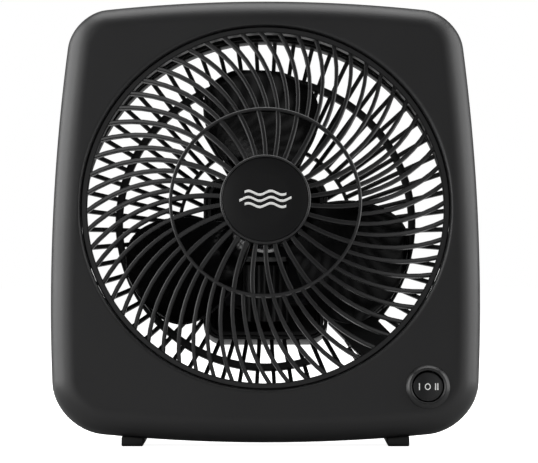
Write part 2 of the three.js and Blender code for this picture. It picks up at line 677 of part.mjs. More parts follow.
// A pressed strap across the rotor: two legs on the core, a plate, and a pocket for the bush.
// It is drawn for the front; the rear one is its mirror image about the middle of the core.
function bracket() {
  const half = BRACKET.height / 2;
  const plate = block(-CORE.halfWidth, CORE.halfWidth, frontPlate - BRACKET.plate, frontPlate, -half, half);
  const legs = [1, -1].map((side) => {
    const [inner, outer] = [CORE.bore + 2, CORE.halfWidth];
    const [x0, x1] = side > 0 ? [inner, outer] : [-outer, -inner];
    return block(x0, x1, frontPlate - 1, CORE.front - GAP, -half, half);
  });
  const pocket = rod(BRACKET.housing, bushFront - 1, frontPlate - 0.5);
  const bore = rod(BRACKET.bush + GAP, bushFront - 2, frontPlate + 1);
  const screws = [1, -1].map((side) =>
    rod(CORE.screw + GAP, frontPlate - 5, CORE.front + 1, 12).translate(side * CORE.screwX, 0, 0));
  return cut(join(plate, ...legs, pocket), bore, ...screws);
}

const mirrored = (geometry) => geometry.scale(1, -1, 1).translate(0, CORE.front + coreRear, 0);
const bush = () => tube(SHAFT.radius + RUN, BRACKET.bush, bushFront, frontPlate);

add('front_bracket', bracket(), aluminium);
add('rear_bracket', mirrored(bracket()), aluminium);
add('front_bush', bush(), bronze);
add('rear_bush', mirrored(bush()), bronze);

const screwHeadFront = frontPlate - BRACKET.plate - GAP - SCREW.headHeight;
const motorScrew = () => turned([
  [0, screwHeadFront], [SCREW.head, screwHeadFront + 0.5], [SCREW.head, screwHeadFront + SCREW.headHeight],
  [CORE.screw, screwHeadFront + SCREW.headHeight], [CORE.screw, panRear - PAN.wall / 2],
  [0, panRear - PAN.wall / 2],
], 12);
[1, -1].forEach((side, i) => add(`motor_screw_${i + 1}`, motorScrew(), steel, [side * CORE.screwX, 0, 0]));

// ---------------------------------------------------------------- rocker switch

function switchHousing() {
  const { bezelRise, depth, trunnion, pivot } = SWITCH;
  const body = turned([
    [wellRadius, -bezelRise + 0.5], [wellRadius + 1.2, -bezelRise], [bezelRadius - 1, -bezelRise * 0.55],
    [bezelRadius, -GAP], [barrelRadius, -GAP], [barrelRadius, depth], [0, depth], [0, depth - 5],
    [wellRadius, depth - 5],
  ], 24);
  const pins = new THREE.CylinderGeometry(trunnion + RUN, trunnion + RUN, 2 * barrelRadius + 2, 16)
    .rotateX(Math.PI / 2).translate(0, pivot, 0);
  return cut(body, pins);
}

function rocker() {
  const { rocker: radius, rockerRise, pivot, trunnion, dish, dishRadius } = SWITCH;
  const face = -rockerRise;
  const cap = turned([
    [0, face], [radius - 0.6, face], [radius, face + 0.6], [radius, pivot + 2.4], [0, pivot + 2.4],
  ], 24);
  const hollow = new THREE.CylinderGeometry(dishRadius, dishRadius, 4 * radius, 60)
    .rotateX(Math.PI / 2).translate(0, face - dishRadius + dish, 0);
  const pins = new THREE.CylinderGeometry(trunnion, trunnion, 2 * barrelRadius - 0.4, 16)
    .rotateX(Math.PI / 2).translate(0, pivot, 0);
  return join(cut(cap, hollow), pins);
}

const atSwitch = [SWITCH.x, 0, SWITCH.z];
add('switch_housing', switchHousing(), nylonBlack, atSwitch);
add('rocker', rocker(), nylonBlack, atSwitch);

const terminalX = (i) => (i - (TERMINAL.count - 1) / 2) * TERMINAL.pitch;
for (let i = 0; i < TERMINAL.count; i++) {
  const [x, half, high] = [terminalX(i), TERMINAL.thickness / 2, TERMINAL.height / 2];
  const tab = block(x - half, x + half, SWITCH.depth + GAP, SWITCH.depth + TERMINAL.length, -high, high);
  add(`switch_terminal_${i + 1}`, tab, brass, atSwitch);
}

// ---------------------------------------------------------------- case screws and cord gland

function caseScrew() {
  const seat = CASE.depth + GAP;
  const tip = seat - SCREW.length + 1;
  return turned([
    [0, seat + SCREW.headHeight], [SCREW.head - 0.8, seat + SCREW.headHeight], [SCREW.head, seat + 0.6],
    [SCREW.head, seat], [SCREW.shank, seat], [SCREW.shank, tip], [0, tip],
  ], 12);
}

CASE_SCREWS.forEach(([x, z], i) => add(`case_screw_${i + 1}`, caseScrew(), steel, [x, 0, z]));

function cordGland() {
  const inside = CASE.depth - CASE.wall - GLAND.tail;
  const seat = CASE.depth + GAP;
  return turned([
    [GLAND.bore, inside], [GLAND.body, inside], [GLAND.body, seat], [GLAND.flange, seat],
    [GLAND.flange - 0.8, CASE.depth + GLAND.rise], [GLAND.bore, CASE.depth + GLAND.rise],
  ]);
}

add('cord_gland', cordGland(), rubber, [GLAND.x, 0, GLAND.z]);

// ---------------------------------------------------------------- leads

// A point inside the duct, or in line with it, at a radius and so far to the side of its middle.
function inDuct(radius, aside) {
  const [x, z] = clock(radius, DUCT.angle);
  const [dx, dz] = clock(aside, DUCT.angle + 90);
  const share = (radius - DUCT.inner) / (DUCT.outer - DUCT.inner);
  return [x + dx, DUCT.innerY + share * (DUCT.outerY - DUCT.innerY), z + dz];
}

function lead(points) {
  const path = new THREE.CatmullRomCurve3(points.map((p) => new THREE.Vector3(...p)));
  const section = new THREE.Shape();
  section.absarc(0, 0, LEAD.radius, 0, TURN);
  return new THREE.ExtrudeGeometry(section, {
    steps: LEAD.steps, extrudePath: path, curveSegments: LEAD.sides, bevelEnabled: false,
  });
}

// Inside the housing each lead turns forwards, past the core's side, and ends on the coil's end flange.
const coilEnd = (row) => {
  const z = barMiddle.z + 5 - row * 5;
  const y = CORE.front - 6;
  const x = COIL.halfLength + LEAD.radius;
  return [[CORE.halfWidth + 4.5, y + 3.5, z], [CORE.halfWidth - 3, y, z], [x, y, z]];
};

// From outside the casing's collar to just inside the housing's wall.
function throughDuct(aside) {
  const wall = (PAN.halfWidth - clock(aside, DUCT.angle + 90)[0]) / Math.sin(radians(DUCT.angle));
  return [DUCT.outer + 3, DUCT.outer - 7, (DUCT.outer + wall) / 2, wall - 3].map((r) => inDuct(r, aside));
}

const terminal = (i) => [SWITCH.x + terminalX(i), SWITCH.depth + TERMINAL.length + 3 * GAP, SWITCH.z];
const glandInside = CASE.depth - CASE.wall - GLAND.tail - GLAND.leadSet;
const insideGland = (aside) => [GLAND.x + aside, glandInside, GLAND.z];

const highSpeed = [terminal(2), [SWITCH.x + 4, 33, SWITCH.z + 5], ...throughDuct(-LEAD.spacing), ...coilEnd(0)];
const lowSpeed = [terminal(0), [SWITCH.x - 7, 33, SWITCH.z + 4], ...throughDuct(0), ...coilEnd(1)];
const neutral = [
  insideGland(1.6), [GLAND.x + 3, 36, GLAND.z + 1], [GLAND.x + 14, 34, GLAND.z + 9],
  ...throughDuct(LEAD.spacing), ...coilEnd(2),
];
const live = [
  insideGland(-1.6), [GLAND.x, 31, GLAND.z + 1], [GLAND.x + 14, 27, GLAND.z + 5],
  [GLAND.x + 27, 27, GLAND.z + 7], [SWITCH.x - 8, 29, SWITCH.z - 4], [SWITCH.x, 31, SWITCH.z - 2], terminal(1),
];

add('lead_high', lead(highSpeed), wireBlack);
add('lead_low', lead(lowSpeed), wireBlack);
add('lead_neutral', lead(neutral), wireBlack);
add('lead_live', lead(live), wireBlack);

// ---------------------------------------------------------------- feet

const stand = new THREE.Group();
object.add(stand);
const floor = level(0) - FOOT.drop;

// A bar on the floor under each side of the casing, which reaches back past it and rises behind it.
function foot() {
  const { front, rear, heel, corner, width, x } = FOOT;
  const top = level(x - width / 2) - GAP;
  const heelTop = floor + heel;
  const lean = radians(LEAN);
  const slope = Math.tan(lean) * (heelTop + CASE.depth * Math.sin(lean));
  const shellRear = CASE.depth * Math.cos(lean) + slope + 3 * GAP;
  const side = new THREE.Shape();
  side.absarc(rear - corner, floor + corner, corner, -Math.PI / 2, 0, false);
  side.lineTo(rear, heelTop - corner).lineTo(rear - 2 * heel, heelTop).lineTo(shellRear, heelTop);
  side.lineTo(shellRear, top).lineTo(front + 1, top).lineTo(front, top - 1);
  side.absarc(front + corner, floor + corner, corner, Math.PI, 1.5 * Math.PI, false);
  const upright = new THREE.Matrix4().makeBasis(
    new THREE.Vector3(0, 1, 0), new THREE.Vector3(0, 0, 1), new THREE.Vector3(1, 0, 0));
  const bar = new THREE.ExtrudeGeometry(side, { depth: width, bevelEnabled: false, curveSegments: 4 })
    .translate(0, 0, -width / 2)
    .applyMatrix4(upright);
  const hole = (radius, z0, z1) => rod(radius, z0, z1, 12).rotateX(Math.PI / 2).translate(0, FOOT.screwY, 0);
  const headSeat = floor + SCREW.headHeight + FOOT.sink;
  return cut(bar, hole(SCREW.head + GAP, floor - 1, headSeat), hole(SCREW.shank + GAP, floor, floor + 20));
}

const footScrew = () => turned([
  [0, 0], [SCREW.head, 0], [SCREW.head, SCREW.headHeight], [SCREW.shank, SCREW.headHeight],
  [SCREW.shank, SCREW.length], [0, SCREW.length],
], 12).rotateX(Math.PI / 2);

[['left', -1], ['right', 1]].forEach(([name, side]) => {
  add(`foot_${name}`, foot(), rubber, [side * FOOT.x, 0, 0], stand);
  add(`foot_screw_${name}`, footScrew(), steel, [side * FOOT.x, FOOT.screwY, floor + FOOT.sink - GAP], stand);
});

// ---------------------------------------------------------------- place on the floor

const box = new THREE.Box3().setFromObject(object, true);
object.position.set(0, -(box.min.y + box.max.y) / 2, -box.min.z);

export default object;
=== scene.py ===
"""Box fan: a leaning square table fan, modelled round its fixed frame and shown in a plain pale studio."""

import json
import math

import bmesh
import bpy
from bpy.props import FloatProperty, IntProperty, PointerProperty, StringProperty
from mathutils import Matrix, Vector


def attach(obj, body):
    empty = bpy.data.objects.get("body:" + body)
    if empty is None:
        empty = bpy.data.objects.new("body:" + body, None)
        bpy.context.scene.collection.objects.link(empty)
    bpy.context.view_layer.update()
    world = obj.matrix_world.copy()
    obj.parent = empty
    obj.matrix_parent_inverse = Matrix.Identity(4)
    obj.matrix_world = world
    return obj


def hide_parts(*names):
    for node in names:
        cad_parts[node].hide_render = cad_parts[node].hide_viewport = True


bl_info = {
    "name": "Box Fan",
    "version": (1, 0, 0),
    "blender": (4, 5, 0),
    "location": "View3D > Sidebar > Box Fan",
    "description": "Models a small leaning box fan with a spiral grille, an impeller and a rear guard",
    "category": "Add Mesh",
}

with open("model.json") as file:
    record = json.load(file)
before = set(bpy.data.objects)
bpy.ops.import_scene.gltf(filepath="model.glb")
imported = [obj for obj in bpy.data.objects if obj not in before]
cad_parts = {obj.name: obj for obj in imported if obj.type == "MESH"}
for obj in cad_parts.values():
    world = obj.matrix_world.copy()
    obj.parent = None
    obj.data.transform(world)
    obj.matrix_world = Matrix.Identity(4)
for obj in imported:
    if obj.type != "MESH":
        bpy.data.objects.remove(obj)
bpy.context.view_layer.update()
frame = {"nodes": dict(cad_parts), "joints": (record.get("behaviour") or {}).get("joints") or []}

# ---------------------------------------------------------------- the fan's own frame

# Pieces are modelled upright in millimetres: x to the right, y from the front face to the rear, z up from the
# impeller's axis. One matrix then leans them back and puts them in the row frame, in metres.
MM = 0.001
JOINT_DEPTH = 30.0  # the spin joint's point lies this far behind the front face
FACET = 0.25  # a rounded edge here is fuller than the frame's flat facets by this much at most
CLEARANCE = 0.3  # air between pieces that touch

SPIN = next(joint for joint in frame["joints"] if joint["name"] == "fan_spin")
AXIS = Vector(SPIN["axis"]).normalized()
LEAN = math.atan2(-AXIS.z, AXIS.y)
FRONT = Vector(SPIN["pos_m"]) - AXIS * JOINT_DEPTH * MM
FAN = Matrix.Translation(FRONT) @ Matrix.Rotation(-LEAN, 4, "X") @ Matrix.Scale(MM, 4)
FAN_INVERSE = FAN.inverted()


def points_of(node, space=FAN_INVERSE):
    """The points of a CAD node in the fan's upright frame, or in another space."""
    return [space @ vertex.co for vertex in frame["nodes"][node].data.vertices]


def corners(points):
    """The lowest and highest corner of the box round some points."""
    return [Vector(end(p[i] for p in points) for i in range(3)) for end in (min, max)]


def cad(node):
    """The lowest and highest corner of a CAD node in the fan's upright frame, in millimetres."""
    return corners(points_of(node))


def middle_of(node):
    """The middle of a CAD node's box in the fan's upright frame, in millimetres."""
    low, high = cad(node)
    return (low + high) / 2


CASE_LOW, CASE_HIGH = cad("front_shell")
REAR_LOW, REAR_HIGH = cad("rear_shell")
GRILLE_LOW, GRILLE_HIGH = cad("front_grille")
GUARD_LOW, GUARD_HIGH = cad("rear_grille")
PAN_LOW, PAN_HIGH = cad("motor_housing")
BEZEL_LOW, BEZEL_HIGH = cad("switch_housing")
ROCKER_LOW, ROCKER_HIGH = cad("rocker")
CASE_SCREWS = [f"case_screw_{i}" for i in range(1, 5)]


def clock(radius, degrees):
    """x and z of a point at an angle clockwise from the top, as seen from the front."""
    angle = math.radians(degrees)
    return radius * math.sin(angle), radius * math.cos(angle)


# ---------------------------------------------------------------- settings


def length(name, description, millimetres):
    """A length property in metres, given in millimetres."""
    return FloatProperty(name=name, description=description, default=millimetres * MM, unit="LENGTH", precision=5)


def angle(name, description, degrees):
    """An angle property, given in degrees."""
    return FloatProperty(name=name, description=description, default=math.radians(degrees), subtype="ANGLE")


def count(name, description, number):
    """A property that counts like pieces."""
    return IntProperty(name=name, description=description, default=number, min=1)


def colour(name, description, value):
    """A colour property that holds an sRGB hex value."""
    return StringProperty(name=name, description=description, default=value)


class BoxFanCaseSettings(bpy.types.PropertyGroup):
    """Sizes of the casing."""

    widest: length("Widest height", "Height of the casing's widest line above the impeller's axis", -48.6)
    side_arc: length("Side arc", "Radius of the bowed sides", 1360)
    top_arc: length("Top arc", "Radius of the bowed top", 1025)
    bottom_arc: length("Bottom arc", "Radius of the bowed underside", 1000)
    corner_top: length("Upper corners", "Tangent length of the upper corners", 22)
    corner_bottom: length("Lower corners", "Tangent length of the lower corners", 28.5)
    front_edge: length("Front edge", "Radius of the front edge's rounding", 14.4)
    rear_edge: length("Rear edge", "Radius of the rear edge's rounding", 6)
    wall: length("Wall", "Thickness of the casing's wall", 2.2)
    side_draft: angle("Side draft", "How far the sides lean inwards", 6.5)
    top_draft: angle("Top draft", "How far the top leans inwards", 6)
    under_draft: angle("Underside draft", "How far the underside leans inwards", 10.5)
    opening: length("Front opening", "Radius of the round opening in the front", 107.6)
    lip: length("Lip", "Radius of the rounded lip round the opening", 2.6)
    collar: length("Front collar", "Depth of the collar behind the front opening", 12)
    rear_opening: length("Rear opening", "Radius of the round opening in the rear", 109)
    rear_collar: length("Rear collar", "Depth of the collar inside the rear opening", 12)


class BoxFanGrilleSettings(bpy.types.PropertyGroup):
    """Sizes of the front grille."""

    ribs: count("Ribs", "Ribs that start at the hub; the outer zone has twice as many", 30)
    rib_width: length("Rib width", "Width of a rib inside the middle ring", 2.6)
    outer_rib_width: length("Outer rib width", "Width of a rib outside the middle ring", 2.3)
    rib_depth: length("Rib depth", "Depth of one rib", 4.6)
    hub: length("Hub radius", "Radius of the hub's rim", 26.2)
    badge: length("Badge radius", "Radius of the badge's seat", 24.9)
    middle_ring: length("Middle ring", "Radius of the middle ring", 54.9)
    rim: length("Rim", "Inner radius of the outer rim", 103.8)
    dome: length("Dome", "How far the ribs stand forward at the middle", 20)
    dome_power: FloatProperty(name="Dome shape", description="Power of the dome's curve", default=2.2)
    sweep: angle("Sweep", "How far a rib curves back by the rim", 19.3)
    sweep_power: FloatProperty(name="Sweep shape", description="How late a rib curves", default=1.465)


class BoxFanGuardSettings(bpy.types.PropertyGroup):
    """Sizes of the rear guard."""

    bars: count("Bars", "Bars in the outer zones", 60)
    bar_width: length("Bar width", "Width of one bar", 2.4)
    bar_depth: length("Bar depth", "Depth of one bar", 4)
    rim: length("Rim", "Inner radius of the guard's rim", 107.2)
    rim_y: length("Rim depth", "Depth of the bars at the rim", 43.5)
    thick_ring: length("Thick ring", "Radius of the thick ring", 87)
    thick_width: length("Thick ring width", "Width of the thick ring", 4.4)
    thick_y: length("Thick ring depth", "Depth of the thick ring behind the front face", 52)
    thin_ring: length("Thin ring", "Radius of the thin ring", 51.5)
    thin_width: length("Thin ring width", "Width of the thin ring", 2)
    thin_y: length("Thin ring depth", "Depth of the thin ring behind the front face", 69)


class BoxFanHousingSettings(bpy.types.PropertyGroup):
    """Sizes of the motor housing."""

    corner: length("Corner", "Corner radius of the housing's outline", 9)
    wall: length("Wall", "Thickness of the housing's wall", 2)
    edge: length("Edge", "Radius of the edge round the back", 3)
    border: length("Border", "Width of the raised border of the back", 5)
    panel: length("Panel", "Depth of the panel inside the border", 0.8)
    vents: count("Cooling slots", "Number of cooling slots in the back", 6)
    vent_start: length("First slot", "Height of the first slot above the housing's underside", 12)
    vent_pitch: length("Slot pitch", "Distance from slot to slot", 6.5)
    vent_length: length("Slot length", "Length of a cooling slot", 24)
    vent_height: length("Slot height", "Height of a cooling slot", 2.6)


class BoxFanDuctSettings(bpy.types.PropertyGroup):
    """Sizes of the wire duct between the casing and the motor housing."""

    angle: angle("Direction", "Direction of the duct, clockwise from the top", 139)
    width: length("Width", "Width of the duct", 22)
    depth: length("Depth", "Depth of the duct", 8)
    inner: length("Inner end", "Distance of the inner end from the axis", 50)
    inner_y: length("Inner end depth", "Depth of the inner end behind the front face", 68.5)
    outer: length("Outer end", "Distance of the outer end from the axis", 113)
    outer_y: length("Outer end depth", "Depth of the outer end behind the front face", 42)


class BoxFanImpellerSettings(bpy.types.PropertyGroup):
    """Sizes of the impeller."""

    blades: count("Blades", "Number of paddles", 3)
    first: angle("First blade", "Direction of the first paddle, clockwise from the top", -4)
    thickness: length("Thickness", "Thickness of a paddle", 1.9)
    middle: length("Middle", "Depth of a paddle's middle behind the front face", 31)
    camber: length("Camber", "How far a paddle bows rearwards across its chord", 3)
    hub: length("Hub radius", "Radius of the impeller's hub", 20)
    hub_rear: length("Hub rear", "Depth of the hub's rear edge behind the front face", 44)


class BoxFanSwitchSettings(bpy.types.PropertyGroup):
    """Sizes of the rocker and its printed positions."""

    dish: length("Dish", "Depth of the dish in the rocker's face", 0.9)
    dish_radius: length("Dish radius", "Radius across the dish", 40)
    mark_height: length("Mark height", "Height of the printed marks", 4)
    mark_width: length("Mark width", "Width of a printed bar", 0.6)


class BoxFanColours(bpy.types.PropertyGroup):
    """Colours of the finishes, as sRGB hex values."""

    case: colour("Casing", "Satin ABS of the casing", "#121213")
    grille: colour("Grille", "Satin ABS of the front grille", "#121213")
    badge: colour("Badge", "Satin ABS of the hub badge", "#0C0C0D")
    blade: colour("Impeller", "Glossy AS of the impeller", "#040405")
    guard: colour("Guard", "Polypropylene of the rear guard and motor housing", "#0A0A0B")
    switch: colour("Switch", "Nylon of the rocker switch", "#121213")
    rubber: colour("Feet", "Rubber of the feet and gland", "#0C0C0C")
    print: colour("Print", "White ink of the badge and the rocker", "#F0F0EE")


# ---------------------------------------------------------------- modelling helpers


def deselect():
    """Leaves nothing selected, in object mode."""
    if bpy.context.object and bpy.context.object.mode != "OBJECT":
        bpy.ops.object.mode_set(mode="OBJECT")
    bpy.ops.object.select_all(action="DESELECT")


def make_active(obj):
    """Selects only this object and makes it active."""
    deselect()
    obj.select_set(True)
    bpy.context.view_layer.objects.active = obj


def edit(obj):
    """Opens the object in edit mode, with nothing selected."""
    make_active(obj)
    bpy.ops.object.mode_set(mode="EDIT")
    bpy.ops.mesh.select_all(action="DESELECT")


def done():
    """Back to object mode."""
    bpy.ops.object.mode_set(mode="OBJECT")


def pick(kind, test):
    """In edit mode, selects only the vertices, edges or faces that pass the test, and counts them."""
    bpy.ops.mesh.select_mode(type=kind)
    bpy.ops.mesh.select_all(action="DESELECT")
    mesh = bpy.context.edit_object.data
    editing = bmesh.from_edit_mesh(mesh)
    items = {"VERT": editing.verts, "EDGE": editing.edges, "FACE": editing.faces}[kind]
    count = 0
    for item in items:
        if test(item):
            item.select_set(True)
            count += 1
    editing.select_flush_mode()
    bmesh.update_edit_mesh(mesh)
    return count


def edge_at(test):
    """An edge test that holds when both ends pass the point test."""
    return lambda edge: all(test(v.co) for v in edge.verts)


def close_to(value, target, margin=0.05):
    """True when two lengths in millimetres are the same within a margin."""
    return abs(value - target) < margin


def radius_of(point):
    """Distance of a point from the fan's axis."""
    return math.hypot(point.x, point.z)


def warp(obj, change):
    """Moves every vertex of a mesh to where the function puts it."""
    for vertex in obj.data.vertices:
        vertex.co = change(vertex.co)


def modify(obj, kind, **settings):
    """Adds a modifier with its settings and applies it."""
    make_active(obj)
    bpy.ops.object.modifier_add(type=kind)
    modifier = obj.modifiers[-1]
    for key, value in settings.items():
        setattr(modifier, key, value)
    bpy.ops.object.modifier_apply(modifier=modifier.name)


def outward(obj):
    """Merges doubles and turns the faces of a closed mesh outwards."""
    edit(obj)
    bpy.ops.mesh.select_all(action="SELECT")
    bpy.ops.mesh.remove_doubles(threshold=0.002)
    bpy.ops.mesh.normals_make_consistent(inside=False)
    done()


def smooth(obj, degrees=35):
    """Shades smooth, except over edges sharper than the angle."""
    make_active(obj)
    bpy.ops.object.shade_smooth_by_angle(angle=math.radians(degrees))


def spun(name, profile, steps, rounding=0.0, segments=3, turn=360.0, start=0.0):
    """A turned piece about the fan's axis. The profile holds (radius, y) points; its corners can be rounded."""
    deselect()
    bpy.ops.mesh.primitive_circle_add(vertices=len(profile), radius=1)
    obj = bpy.context.active_object
    obj.name = name
    for vertex, (radius, y) in zip(obj.data.vertices, profile):
        x, z = clock(radius, start)
        vertex.co = (x, y, z)
    edit(obj)
    if rounding:
        pick("VERT", lambda v: radius_of(v.co) > 0.01)
        bpy.ops.mesh.bevel(offset=rounding, segments=segments, affect="VERTICES")
    pick("EDGE", edge_at(lambda p: radius_of(p) < 0.01))
    bpy.ops.mesh.delete(type="EDGE")
    bpy.ops.mesh.select_all(action="SELECT")
    if turn < 360:
        bpy.ops.mesh.edge_face_add()
        bpy.ops.mesh.select_all(action="SELECT")
    bpy.ops.mesh.spin(steps=steps, angle=math.radians(turn), center=(0, 0, 0), axis=(0, 1, 0))
    done()
    outward(obj)
    return obj


def bar(name, width, depth, cuts, rounding, segments=2):
    """A straight bar along z from 0 to 1, its front at y = 0, with rounded long edges and even cuts."""
    deselect()
    bpy.ops.mesh.primitive_cube_add(size=1, location=(0, depth / 2, 0.5), scale=(width, depth, 1))
    obj = bpy.context.active_object
    obj.name = name
    bpy.ops.object.transform_apply()
    edit(obj)
    pick("EDGE", lambda e: abs(e.verts[0].co.z - e.verts[1].co.z) > 0.5)
    bpy.ops.mesh.bevel(offset=rounding, segments=segments, affect="EDGES")
    for i in range(1, cuts):
        bpy.ops.mesh.select_all(action="SELECT")
        bpy.ops.mesh.bisect(plane_co=(0, 0, i / cuts), plane_no=(0, 0, 1))
    done()
    return obj


def rounded_block(name, low, high, rounding, segments=3):
    """A box between two corners with rounded edges."""
    deselect()
    middle = (Vector(low) + Vector(high)) / 2
    size = Vector(high) - Vector(low)
    bpy.ops.mesh.primitive_cube_add(size=1, location=middle, scale=size)
    obj = bpy.context.active_object
    obj.name = name
    bpy.ops.object.transform_apply()
    edit(obj)
    bpy.ops.mesh.select_all(action="SELECT")
    bpy.ops.mesh.bevel(offset=rounding, segments=segments, affect="EDGES")
    done()
    return obj


def copy_of(obj, name):
    """A copy of a piece with its own mesh."""
    copy = obj.copy()
    copy.data = obj.data.copy()
    copy.name = name
    bpy.context.scene.collection.objects.link(copy)
    return copy


def turned(obj, degrees):
    """Turns a piece clockwise about the fan's axis, as seen from the front, and applies it."""
    obj.data.transform(Matrix.Rotation(math.radians(degrees), 4, "Y"))
    return obj


def joined(objects, name):
    """Joins pieces into one object."""
    deselect()
    for obj in objects:
        obj.select_set(True)
    bpy.context.view_layer.objects.active = objects[0]
    if len(objects) > 1:
        bpy.ops.object.join()
    result = bpy.context.active_object
    result.name = name
    return result


def cut_away(obj, tool):
    """Cuts one piece with another, which is used up."""
    modify(obj, "BOOLEAN", operation="DIFFERENCE", solver="EXACT", object=tool)
    bpy.data.objects.remove(tool)


def drilled(obj, radius, middle, depth, vertices=24, turn=(math.pi / 2, 0, 0)):
    """Cuts a round hole from front to rear through a piece, or along z when it isn't turned."""
    deselect()
    bpy.ops.mesh.primitive_cylinder_add(vertices=vertices, radius=radius, depth=depth, location=middle, rotation=turn)
    cut_away(obj, bpy.context.active_object)


def place(obj, material, body, nodes, space=FAN):
    """Puts a finished piece in the row frame and says what it rides on, is made of and stands for."""
    obj.data.transform(space @ obj.matrix_world)
    obj.matrix_world = Matrix.Identity(4)
    obj.data.materials.clear()
    obj.data.materials.append(bpy.data.materials[material])
    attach(obj, body)
    if nodes:
        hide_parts(*nodes)
    return obj


# ---------------------------------------------------------------- materials


def linear(value):
    """A linear RGBA colour from an sRGB hex value."""
    parts = [int(value[i : i + 2], 16) / 255 for i in (1, 3, 5)]
    return [p / 12.92 if p <= 0.04045 else ((p + 0.055) / 1.055) ** 2.4 for p in parts] + [1.0]


def node(tree, kind, settings=None, links=None):
    """Adds a node to the tree with its settings and its incoming links."""
    added = tree.nodes.new(kind)
    for key, value in (settings or {}).items():
        if isinstance(key, str) and hasattr(added, key):
            setattr(added, key, value)
        else:
            added.inputs[key].default_value = value
    for key, source in (links or {}).items():
        tree.links.new(source, added.inputs[key])
    return added


def new_material(name):
    """An empty node material, its tree and its object coordinates."""
    material = bpy.data.materials.new(name)
    material.use_nodes = True
    tree = material.node_tree
    tree.nodes.clear()
    coordinates = node(tree, "ShaderNodeTexCoord").outputs["Object"]
    return tree, coordinates


def close_material(tree, settings, links):
    """Ends a tree in a Principled shader and the material's output."""
    shader = node(tree, "ShaderNodeBsdfPrincipled", settings, links)
    node(tree, "ShaderNodeOutputMaterial", links={"Surface": shader.outputs["BSDF"]})


def moulded(name, value, roughness, grain, relief, ior=1.53, unevenness=0.05, level=0.5):
    """A moulded plastic or rubber: an even colour with the tool's fine grain in mm and slow flow marks."""
    tree, coordinates = new_material(name)
    fine = node(tree, "ShaderNodeTexNoise", {"Scale": 1 / (grain * MM), "Detail": 2.0}, {"Vector": coordinates})
    slow = node(tree, "ShaderNodeTexNoise", {"Scale": 1 / (38 * MM), "Detail": 3.0}, {"Vector": coordinates})
    shine = node(tree, "ShaderNodeMapRange", {
        "To Min": max(roughness - unevenness, 0.02), "To Max": roughness + unevenness,
    }, {"Value": slow.outputs["Fac"]})
    bump = node(tree, "ShaderNodeBump", {"Strength": relief, "Distance": grain * MM * 0.25},
                {"Height": fine.outputs["Fac"]})
    base = linear(value)
    tint = node(tree, "ShaderNodeMix", {
        "data_type": "RGBA", 6: [c * 0.86 for c in base[:3]] + [1], 7: [c * 1.14 for c in base[:3]] + [1],
    }, {"Factor": slow.outputs["Fac"]})
    close_material(tree, {"IOR": ior, "Specular IOR Level": level},
                   {"Base Color": tint.outputs[2], "Roughness": shine.outputs["Result"],
                    "Normal": bump.outputs["Normal"]})


def metallic(name, value, roughness, grain, relief, stretch=(1, 1, 1)):
    """A bare metal: its own colour with drawn, brushed or cast marks of a real size in mm."""
    tree, coordinates = new_material(name)
    along = node(tree, "ShaderNodeMapping", {"Scale": stretch}, {"Vector": coordinates})
    marks = node(tree, "ShaderNodeTexNoise", {"Scale": 1 / (grain * MM), "Detail": 4.0},
                 {"Vector": along.outputs["Vector"]})
    shine = node(tree, "ShaderNodeMapRange", {"To Min": roughness * 0.7, "To Max": roughness * 1.3},
                 {"Value": marks.outputs["Fac"]})
    bump = node(tree, "ShaderNodeBump", {"Strength": relief, "Distance": grain * MM * 0.3},
                {"Height": marks.outputs["Fac"]})
    base = linear(value)
    tint = node(tree, "ShaderNodeMix", {
        "data_type": "RGBA", 6: [c * 0.7 for c in base[:3]] + [1], 7: base,
    }, {"Factor": marks.outputs["Fac"]})
    close_material(tree, {"Metallic": 1.0},
                   {"Base Color": tint.outputs[2], "Roughness": shine.outputs["Result"],
                    "Normal": bump.outputs["Normal"]})


def laid(name, value, roughness, pitch, metal, turn=(0, 0, 0)):
    """Parallel layers or turns of a real pitch in mm, such as laminations or wound wire."""
    tree, coordinates = new_material(name)
    along = node(tree, "ShaderNodeMapping", {"Rotation": turn}, {"Vector": coordinates})
    waves = node(tree, "ShaderNodeTexWave", {
        "wave_type": "BANDS", "bands_direction": "Y", "Scale": 0.314 / (pitch * MM), "Distortion": 0.4,
        "Detail": 1.0,
    }, {"Vector": along.outputs["Vector"]})
    bump = node(tree, "ShaderNodeBump", {"Strength": 0.7, "Distance": pitch * MM * 0.5},
                {"Height": waves.outputs["Fac"]})
    base = linear(value)
    tint = node(tree, "ShaderNodeMix", {
        "data_type": "RGBA", 6: [c * 0.35 for c in base[:3]] + [1], 7: base,
    }, {"Factor": waves.outputs["Fac"]})
    close_material(tree, {"Metallic": metal, "Roughness": roughness},
                   {"Base Color": tint.outputs[2], "Normal": bump.outputs["Normal"]})


